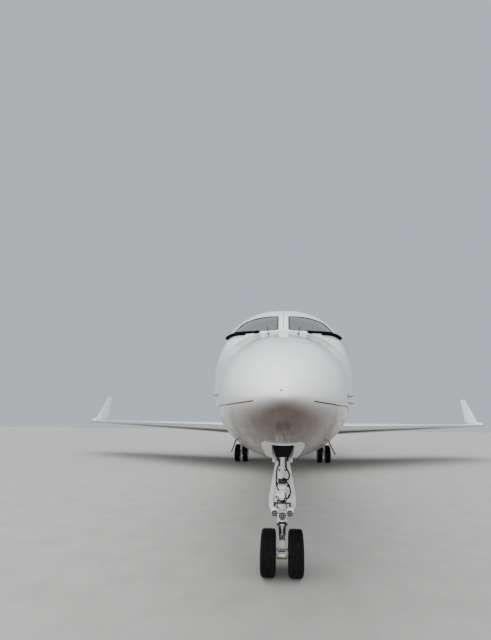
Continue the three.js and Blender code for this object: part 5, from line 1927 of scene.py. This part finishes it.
# %% [markdown]
# ### Brakes, hoses and doors
# Brake packs sit round the axle inside the wheels, fed by hoses that run down the leg. They are short
# cylinders and smooth lines, and the door is a prism with rounded edges.

# %% Brakes, hoses and doors
brakes = bmesh.new()
for sign in (1, -1):
    for start, end, radius in ((0.090, 0.146, 0.165), (0.086, 0.100, 0.135)):
        add_rod(
            brakes, (X + sign * start, Y, MAIN_AXLE.z), (X + sign * end, Y, MAIN_AXLE.z), radius,
            sides=48, edge=0.003,
        )
    for i in range(6):
        turn = math.pi / 3 * i
        at = Vector((X + sign * 0.084, Y + 0.11 * math.cos(turn), MAIN_AXLE.z + 0.11 * math.sin(turn)))
        add_rod(brakes, at, at + Vector((sign * 0.01, 0, 0)), 0.022, sides=24)
dress_pair(solid_object(brakes), "main_brakes", DARK_METAL)

HOSE_DOWN = (
    (0.04, -0.07, 1.45), (0.07, -0.105, 1.25), (0.075, -0.11, 0.95), (0.07, -0.10, 0.70),
    (0.088, -0.09, 0.55), (0.095, -0.06, 0.50),
)
brake_lines = bmesh.new()
for side in (1, -1):
    add_hose(brake_lines, [(X + side * x, Y + y, z) for x, y, z in HOSE_DOWN], 0.009, steps=6)
dress_pair(solid_object(brake_lines), "main_hoses", BLACK_RUBBER)

door_x = X + 0.135
main_door = prism(
    [(0, Y - 0.21, 1.47), (0, Y + 0.21, 1.47), (0, Y + 0.19, 0.93), (0, Y - 0.19, 0.93)],
    (door_x, 0, 0), (door_x + 0.016, 0, 0),
)
round_edges(main_door, main_door.edges[:], 0.004)
for z in (1.10, 1.40):
    add_block(main_door, (X + 0.075, Y - 0.025, z), (door_x + 0.004, Y + 0.025, z + 0.04), 0.004)
dress_pair(solid_object(main_door), "main_door", PAINT, "main_gear_door")

# %% [markdown]
# ## Entry door
# The door is a piece of the same skin, hinged along its lower edge, with the boarding steps on its
# inner face. It keeps an even 8 mm gap round it when shut.

# %% Entry door
door = body_shell(steps_between(3.9, 4.9, 0.05), WALL)
carve(door, solid_object(sector_cutter(0.0)), "INTERSECT")
dress(door, "door_skin", None, ["entry_door"], "airstair")

steps = bmesh.new()
for i in range(5):
    angle = DOOR_ANGLES[0] + math.radians(14 + 14.5 * i)
    at = Vector((math.cos(angle), 0, math.sin(angle))) * (BODY_RADIUS - WALL / 2)
    place = Matrix.Translation(at + Vector((0, sum(DOOR_Y) / 2, BODY_CENTRE)))
    tilt = Matrix.Rotation(-angle * 0.35, 4, "Y")
    size = Matrix.Diagonal((0.19, DOOR_Y[1] - DOOR_Y[0] - 0.22, 0.036, 1))
    bmesh.ops.create_cube(steps, size=1, matrix=place @ tilt @ Matrix.Translation((-0.095, 0, 0)) @ size)
make_piece("door_steps", steps, CARPET, body="airstair")

# %% [markdown]
# ## Panel lines
# Skins are riveted sheets with sealed joints, and hatches break them up. All these lines are the same
# thin strip laid along a surface, so one helper per surface gives the points and the way out of it.


# %% Fuselage lines
def girth(aft):
    """Pairs round the fuselage at the mesh's own points."""
    angles = [-math.pi / 2 + 2 * math.pi * i / AROUND for i in range(AROUND + 1)]
    return [(body_point(aft, angle), Vector((math.cos(angle), 0, math.sin(angle)))) for angle in angles]


def body_line(angle, start, end, steps=24):
    """Pairs along the constant section at an angle."""
    out = Vector((math.cos(angle), 0, math.sin(angle)))
    centre = Vector((0, 0, BODY_CENTRE))
    places = steps_between(start, end, (end - start) / steps)
    return [(centre + out * BODY_RADIUS + Vector((0, y, 0)), out) for y in places]


LINE_WIDTH = 0.004
LINE_LIFT = 0.0009

body_lines = bmesh.new()
for aft in (6.1, 8.7, 11.3, 13.9, 18.4, 20.6, 22.8):
    add_ribbon(body_lines, girth(aft), LINE_WIDTH, LINE_LIFT)
for degrees, start in ((118, -9.5), (62, -9.5), (-22, -8.4), (202, -9.5)):
    add_ribbon(body_lines, body_line(math.radians(degrees), start, 2.9), LINE_WIDTH, LINE_LIFT)
make_piece("body_lines", body_lines, GROOVE)

# %% [markdown]
# ### Hatches of the aft body
# Access hatches behind the cabin are four-sided outlines on a curved skin. Each side is divided finely
# and every point is slid out to the skin, so the outline follows the curve.

# %% Hatches of the aft body
HATCHES = ((1, 18.6, 19.7, -34, 4), (-1, 19.0, 19.6, -40, -12), (1, 20.9, 21.5, -30, -5))

hatches = bmesh.new()
for sign, start, end, low, high in HATCHES:
    places = ((start, low), (end, low), (end, high), (start, high))
    corners = [body_point(aft, math.radians(angle)) for aft, angle in places]
    ring = []
    for first, last in zip(corners, corners[1:] + corners[:1]):
        for i in range(10):
            point = first + (last - first) * i / 10
            ring.append(skin_spot(sign * point.x, point.y - NOSE_Y, point.z))
    add_ribbon(hatches, ring + ring[:1], 0.006, 0.0015)
make_piece("aft_hatches", hatches, GROOVE)

# %% [markdown]
# ### Wing and tail lines
# The skin sheets of a wing end along its spars and ribs. A line at a share of the chord follows a spar
# and one across the chord follows a rib, and the section's own formula puts both on the surface.


# %% Wing and tail lines
def surface_spot(place, share, out):
    """A point on one face of a wing or fin, with the way out of it."""
    at, half = chord_point(place, share)
    return at + out * (half + TRAILING_EDGE * share), out


def surface_lines(section_at, way_out, spans, chords):
    """Lines along a surface at chord shares, and across it at stations, on both faces."""
    bm = bmesh.new()
    for out in (way_out, -way_out):
        for share, start, end in spans:
            spots = [surface_spot(section_at(at), share, out) for at in steps_between(start, end, 0.4)]
            add_ribbon(bm, spots, LINE_WIDTH, 0.002)
        for at, start, end in chords:
            spots = [surface_spot(section_at(at), share, out) for share in steps_between(start, end, 0.02)]
            add_ribbon(bm, spots, LINE_WIDTH, 0.002)
    return bm


wing_ribs = [(x, 0.14, 0.62) for x in (2.6, 4.4, 6.2, 8.05, 9.8)]
flap_ribs = [(x, 0.62, 0.745) for x in (1.75, 3.2, 4.7, 6.3, 7.85)]
wing_lines = surface_lines(wing_at, UP, [(0.14, 1.6, 11.4), (0.62, 1.75, 7.85)], wing_ribs + flap_ribs)
dress_pair(solid_object(wing_lines), "wing_lines", GROOVE)

plane_lines = surface_lines(plane_at, UP, [(0.12, 0.4, 4.7)], [(x, 0.12, 0.64) for x in (0.4, 2.4, 4.0)])
dress_pair(solid_object(plane_lines), "tailplane_lines", GROOVE)

fin_lines = surface_lines(fin_at, SIDE, [(0.12, 4.2, 6.95)], [(z, 0.12, 0.66) for z in (4.5, 5.4, 6.3)])
make_piece("fin_lines", fin_lines, GROOVE)

# %% [markdown]
# ### Nacelle lines
# The cowl opens in two halves round the engine. Rings and lengthwise strips mark its joints, at radii
# read from the same profile that the cowl was spun from.


# %% Nacelle lines
def nacelle_spot(along, angle):
    radius = next(
        r0 + (r1 - r0) * (along - a0) / (a1 - a0)
        for (a0, r0), (a1, r1) in zip(outer_line[8:], outer_line[9:]) if a0 <= along <= a1
    )
    out = Vector((math.cos(angle), 0, math.sin(angle)))
    return ENGINE + out * radius + Vector((0, along, 0)), out


nacelle_lines = bmesh.new()
turns = [2 * math.pi * i / 96 for i in range(97)]
for along in (4.35, 6.15, 7.1):
    add_ribbon(nacelle_lines, [nacelle_spot(along, turn) for turn in turns], LINE_WIDTH, 0.0012)
for degrees in (0, 90, 270):
    line = [nacelle_spot(along, math.radians(degrees)) for along in steps_between(3.1, 7.1, 0.2)]
    add_ribbon(nacelle_lines, line, LINE_WIDTH, 0.0012)
dress_pair(solid_object(nacelle_lines), "nacelle_lines", GROOVE)

# %% [markdown]
# ## Lamps
# A red lamp marks the port wing tip and a green one the starboard tip, a white one the tail, and red
# beacons the spine and the belly. Each is a half round cover, spun from a quarter circle.

# %% Position lamps
RED_LAMP = glass("red_lamp", (0.55, 0.01, 0.01), 0.5)
GREEN_LAMP = glass("green_lamp", (0.01, 0.38, 0.10), 0.5)


def add_dome(bm, at, axis, radius, height):
    """A half round cover standing on a surface."""
    profile = [(-0.004, 0.0), (-0.004, radius)]
    for i in range(9):
        turn = math.radians(90) * i / 8
        profile.append((height * math.sin(turn), radius * math.cos(turn)))
    profile[-1] = (height, 0.0)
    dome = bmesh.new()
    add_turned(dome, profile, at, axis, steps=32)
    add_part(bm, dome)


for (side, sign), finish in zip(SIDES, (RED_LAMP, GREEN_LAMP)):
    tip = wing_at(11.45)
    lamp = bmesh.new()
    add_dome(lamp, (sign * tip["x"], tip["y"] + 0.012, tip["z"]), (0, -1, 0), 0.030, 0.045)
    make_piece(f"tip_lamp_{side}", lamp, finish)

beacons = bmesh.new()
add_dome(beacons, (0, -3.6, BODY_CENTRE + BODY_RADIUS), (0, 0, 1), 0.065, 0.085)
add_dome(beacons, (0, -0.9, 1.045), (0, 0, -1), 0.065, 0.080)
make_piece("beacons", beacons, RED_LAMP)

tail_lamp = bmesh.new()
add_dome(tail_lamp, (0, 13.318, BULLET_Z), (0, 1, 0), 0.022, 0.035)
make_piece("tail_lamp", tail_lamp, LAMP_GLASS)

# %% [markdown]
# ### Radio blades
# Small white blades on the spine and the belly are radio aerials. They are lofts of flat ovals, like
# the red ones under the nose, and start a little below the skin so that no gap shows at the foot.

# %% Radio blades
blades = bmesh.new()
for y, foot_z, way, height, chord in (
    (-7.9, 3.595, 1, 0.27, 0.26), (-5.2, 3.595, 1, 0.20, 0.20), (-6.6, 1.205, -1, 0.22, 0.22),
    (5.6, 1.30, -1, 0.18, 0.20),
):
    add_part(blades, loft([
        flat_oval(Vector((0, y + 0.12 * t, foot_z + way * height * t)), 0.010 * scale, chord / 2 * scale)
        for t, scale in ((-0.25, 1.0), (0.0, 1.0), (0.5, 0.82), (0.9, 0.6), (1.0, 0.4))
    ]))
make_piece("radio_blades", blades, PAINT)

# %% [markdown]
# ### Static wicks
# Thin wicks on the trailing edges bleed off static charge. They ride on the movable surfaces, and each
# is a tapered rod that starts inside its edge.


# %% Static wicks
def wicks(places):
    """A wick behind each section given."""
    bm = bmesh.new()
    for place in places:
        start = Vector((place["x"], place["y"] + place["chord"], place["z"]))
        add_rod(bm, start - Vector((0, 0.02, 0)), start + Vector((0, 0.11, 0)), 0.0035, 0.002, sides=8)
    return bm


aileron_wicks = solid_object(wicks([wing_at(x) for x in (8.7, 9.4, 10.1, 10.8)]))
dress_pair(aileron_wicks, "aileron_wicks", BLACK_RUBBER, body="aileron_flap_{}")
elevator_wicks = solid_object(wicks([plane_at(x) for x in (3.0, 3.7, 4.4)]))
dress_pair(elevator_wicks, "elevator_wicks", BLACK_RUBBER, body="elevator_flap_{}")
rudder_wicks = wicks([fin_at(z) for z in (5.4, 6.0, 6.6)])
make_piece("rudder_wicks", rudder_wicks, BLACK_RUBBER, body="rudder_flap")

# %% [markdown]
# ### Door handle
# The entry door's handle lies flush in a shallow plate. Two strips along the door's curve are enough,
# a broad one for the plate and a narrow one, standing higher, for the bar.

# %% Door handle
HANDLE_Y = -9.2
handle = bmesh.new()
for half, width, lift in ((0.075, 0.052, 0.001), (0.055, 0.020, 0.006)):
    add_ribbon(handle, body_line(math.radians(14), HANDLE_Y - half, HANDLE_Y + half, 6), width, lift)
make_piece("door_handle", handle, CHROME, body="airstair")

# %% [markdown]
# ## Interior
# A little of the flight deck shows through the windshields. The working model's own floor, panel and
# partition are flat enough to stay, so they only get their real finishes.

# %% Floor, panel and partition
for name, finish in (
    ("cabin_floor", CARPET), ("instrument_panel", PANEL_PLASTIC), ("cockpit_partition", CREAM_PANEL),
):
    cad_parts[name].data.materials.clear()
    add_finishes(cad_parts[name], finish)
    print(name, "wears", finish.name)

# %% [markdown]
# ### Seats
# A seat is a moulded frame with three foam cushions under leather. Foam swells between its seams, so
# each cushion starts as a slightly smaller rounded block, is remeshed evenly, and is blown up a little
# with the Cloth modifier under pressure. No point may move more than 24 mm, which keeps it a cushion.

# %% Cushion
SWELL = 0.024


def remeshed(bm, voxel=0.014):
    thing = solid_object(bm, "cushion")
    remesh = thing.modifiers.new("even", "REMESH")
    remesh.mode = "VOXEL"
    remesh.voxel_size = voxel
    return settle(thing)


def swollen(thing):
    """Blows a closed form up and keeps every point within the swell."""
    cloth = thing.modifiers.new("swell", "CLOTH")
    cloth.settings.use_pressure = True
    cloth.settings.uniform_pressure_force = 4
    cloth.settings.effector_weights.gravity = 0
    scene = bpy.context.scene
    for number in range(1, 21):
        scene.frame_set(number)
    shape = thing.evaluated_get(bpy.context.evaluated_depsgraph_get()).data
    moved = [vertex.co.copy() for vertex in shape.vertices]
    thing.modifiers.clear()
    for vertex, place in zip(thing.data.vertices, moved):
        step = place - vertex.co
        vertex.co += step * min(1.0, SWELL / max(step.length, 1e-9))
    scene.frame_set(1)
    return thing


def cushion(low, high, edge):
    """A swollen block of foam with one level of subdivision."""
    bm = bmesh.new()
    add_block(bm, low, high, edge)
    thing = swollen(remeshed(bm))
    smooth = thing.modifiers.new("smooth", "SUBSURF")
    smooth.levels = 1
    smooth.render_levels = 1
    return settle(thing)


# %% [markdown]
# ### One seat's parts
# The cushions are made once, at the origin, and copied to every seat. The narrower pilot seats use the
# same cushions scaled across, and the frame is built to each seat's width.

# %% Seat parts
PAN = cushion((-0.185, -0.245, 1.945), (0.185, 0.205, 2.035), 0.035)
BACK = cushion((-0.175, -0.05, 0.03), (0.175, 0.04, 0.60), 0.035)
HEAD = cushion((-0.115, -0.04, -0.075), (0.115, 0.035, 0.075), 0.030)
UPRIGHT = Matrix.Translation((0, 0.245, 1.97)) @ Matrix.Rotation(math.radians(-12.5), 4, "X")
ARM_INSET = 0.0375


def seat_frame(half):
    """Pedestal, tray, back shell and arms, with the seat's centre at the origin."""
    bm = bmesh.new()
    add_block(bm, (-half + 0.13, -0.19, 1.6403), (half - 0.13, 0.19, 1.89), 0.015)
    add_block(bm, (-half + 0.075, -0.262, 1.882), (half - 0.075, 0.262, 1.935), 0.015)
    shell = bmesh.new()
    add_block(shell, (-half + 0.075, 0.055, -0.02), (half - 0.075, 0.095, 0.63), 0.016)
    add_block(shell, (-0.05, 0.05, 0.60), (0.05, 0.08, 0.80), 0.008)
    bmesh.ops.transform(shell, matrix=UPRIGHT, verts=shell.verts[:])
    add_part(bm, shell)
    for x in (half - ARM_INSET, ARM_INSET - half):
        add_block(bm, (x - 0.018, -0.16, 1.952), (x + 0.018, 0.22, 2.165), 0.012)
    return bm


def seat_arms(half):
    bm = bmesh.new()
    for x in (half - ARM_INSET, ARM_INSET - half):
        add_block(bm, (x - 0.035, -0.205, 2.160), (x + 0.035, 0.255, 2.205), 0.018)
    return bm


print("Points in the back cushion:", len(BACK.data.vertices))

# %% [markdown]
# ### Seats in place
# Two pilot seats stand behind the panel and two cabin seats by the windows. The cushions are pieces of
# leather that hide the working model's seat, and frame and arms are pieces of their own.

# %% Seats in place
SEATS = {
    "pilot_seat_port": (0.38, -10.4, 0.52), "pilot_seat_starboard": (-0.38, -10.4, 0.52),
    "cabin_seat_port": (0.52, -6.3, 0.60), "cabin_seat_starboard": (-0.52, -6.3, 0.60),
}
RAISED = UPRIGHT @ Matrix.Translation((0, 0.0, 0.735))

for name, (x, y, width) in SEATS.items():
    half = width / 2
    squeeze = Matrix.Diagonal(((half - 0.095) / 0.205, 1, 1, 1))
    place = Matrix.Translation((x, y, 0))
    for part, source, move in (("pan", PAN, Matrix()), ("back", BACK, UPRIGHT), ("head", HEAD, RAISED)):
        pad = copied(source)
        pad.data.transform(place @ move @ squeeze)
        dress(pad, f"{name}_{part}_pad", LEATHER, [name], sharp=180)
    for kind, bm, finish, slot in (
        ("frame", seat_frame(half), PANEL_PLASTIC, "dark_trim"), ("arms", seat_arms(half), LEATHER, "leather")
    ):
        bmesh.ops.translate(bm, vec=(x, y, 0), verts=bm.verts[:])
        make_piece(f"{name}_{kind}", bm, finish)
for source in (PAN, BACK, HEAD):
    bpy.data.objects.remove(source)

# %% [markdown]
# ## Surroundings and light
# The aeroplane stands on a pale floor in soft, even light, as under a bright overcast sky. The floor
# throws some of it back up and fills the underside of the body. A sun as wide as a cloud bank gives
# the forms a direction without a hard shadow or a small bright spot.

# %% Floor and sky
SKY_COLOUR = (0.74, 0.80, 0.88, 1)
SKY_STRENGTH = 0.72
SUN_STRENGTH = 6.2

floor = bmesh.new()
bmesh.ops.create_grid(floor, x_segments=1, y_segments=1, size=120)
CONCRETE = satin("concrete", (0.34, 0.33, 0.315), (0.30, 0.29, 0.275), (0.8, 0.95), 14, 0.002)
add_finishes(solid_object(floor, "floor"), CONCRETE)

world = bpy.data.worlds.new("sky")
bpy.context.scene.world = world
world.use_nodes = True
sky = world.node_tree.nodes["Background"]
sky.inputs["Color"].default_value = SKY_COLOUR
sky.inputs["Strength"].default_value = SKY_STRENGTH

sun_data = bpy.data.lights.new("sun", "SUN")
sun_data.energy = SUN_STRENGTH
sun_data.angle = math.radians(125)
sun = bpy.data.objects.new("sun", sun_data)
sun.rotation_euler = (math.radians(38), math.radians(-18), 0)
sun.visible_glossy = False
bpy.context.scene.collection.objects.link(sun)
print("Sky at", SKY_STRENGTH, "and sun at", SUN_STRENGTH)
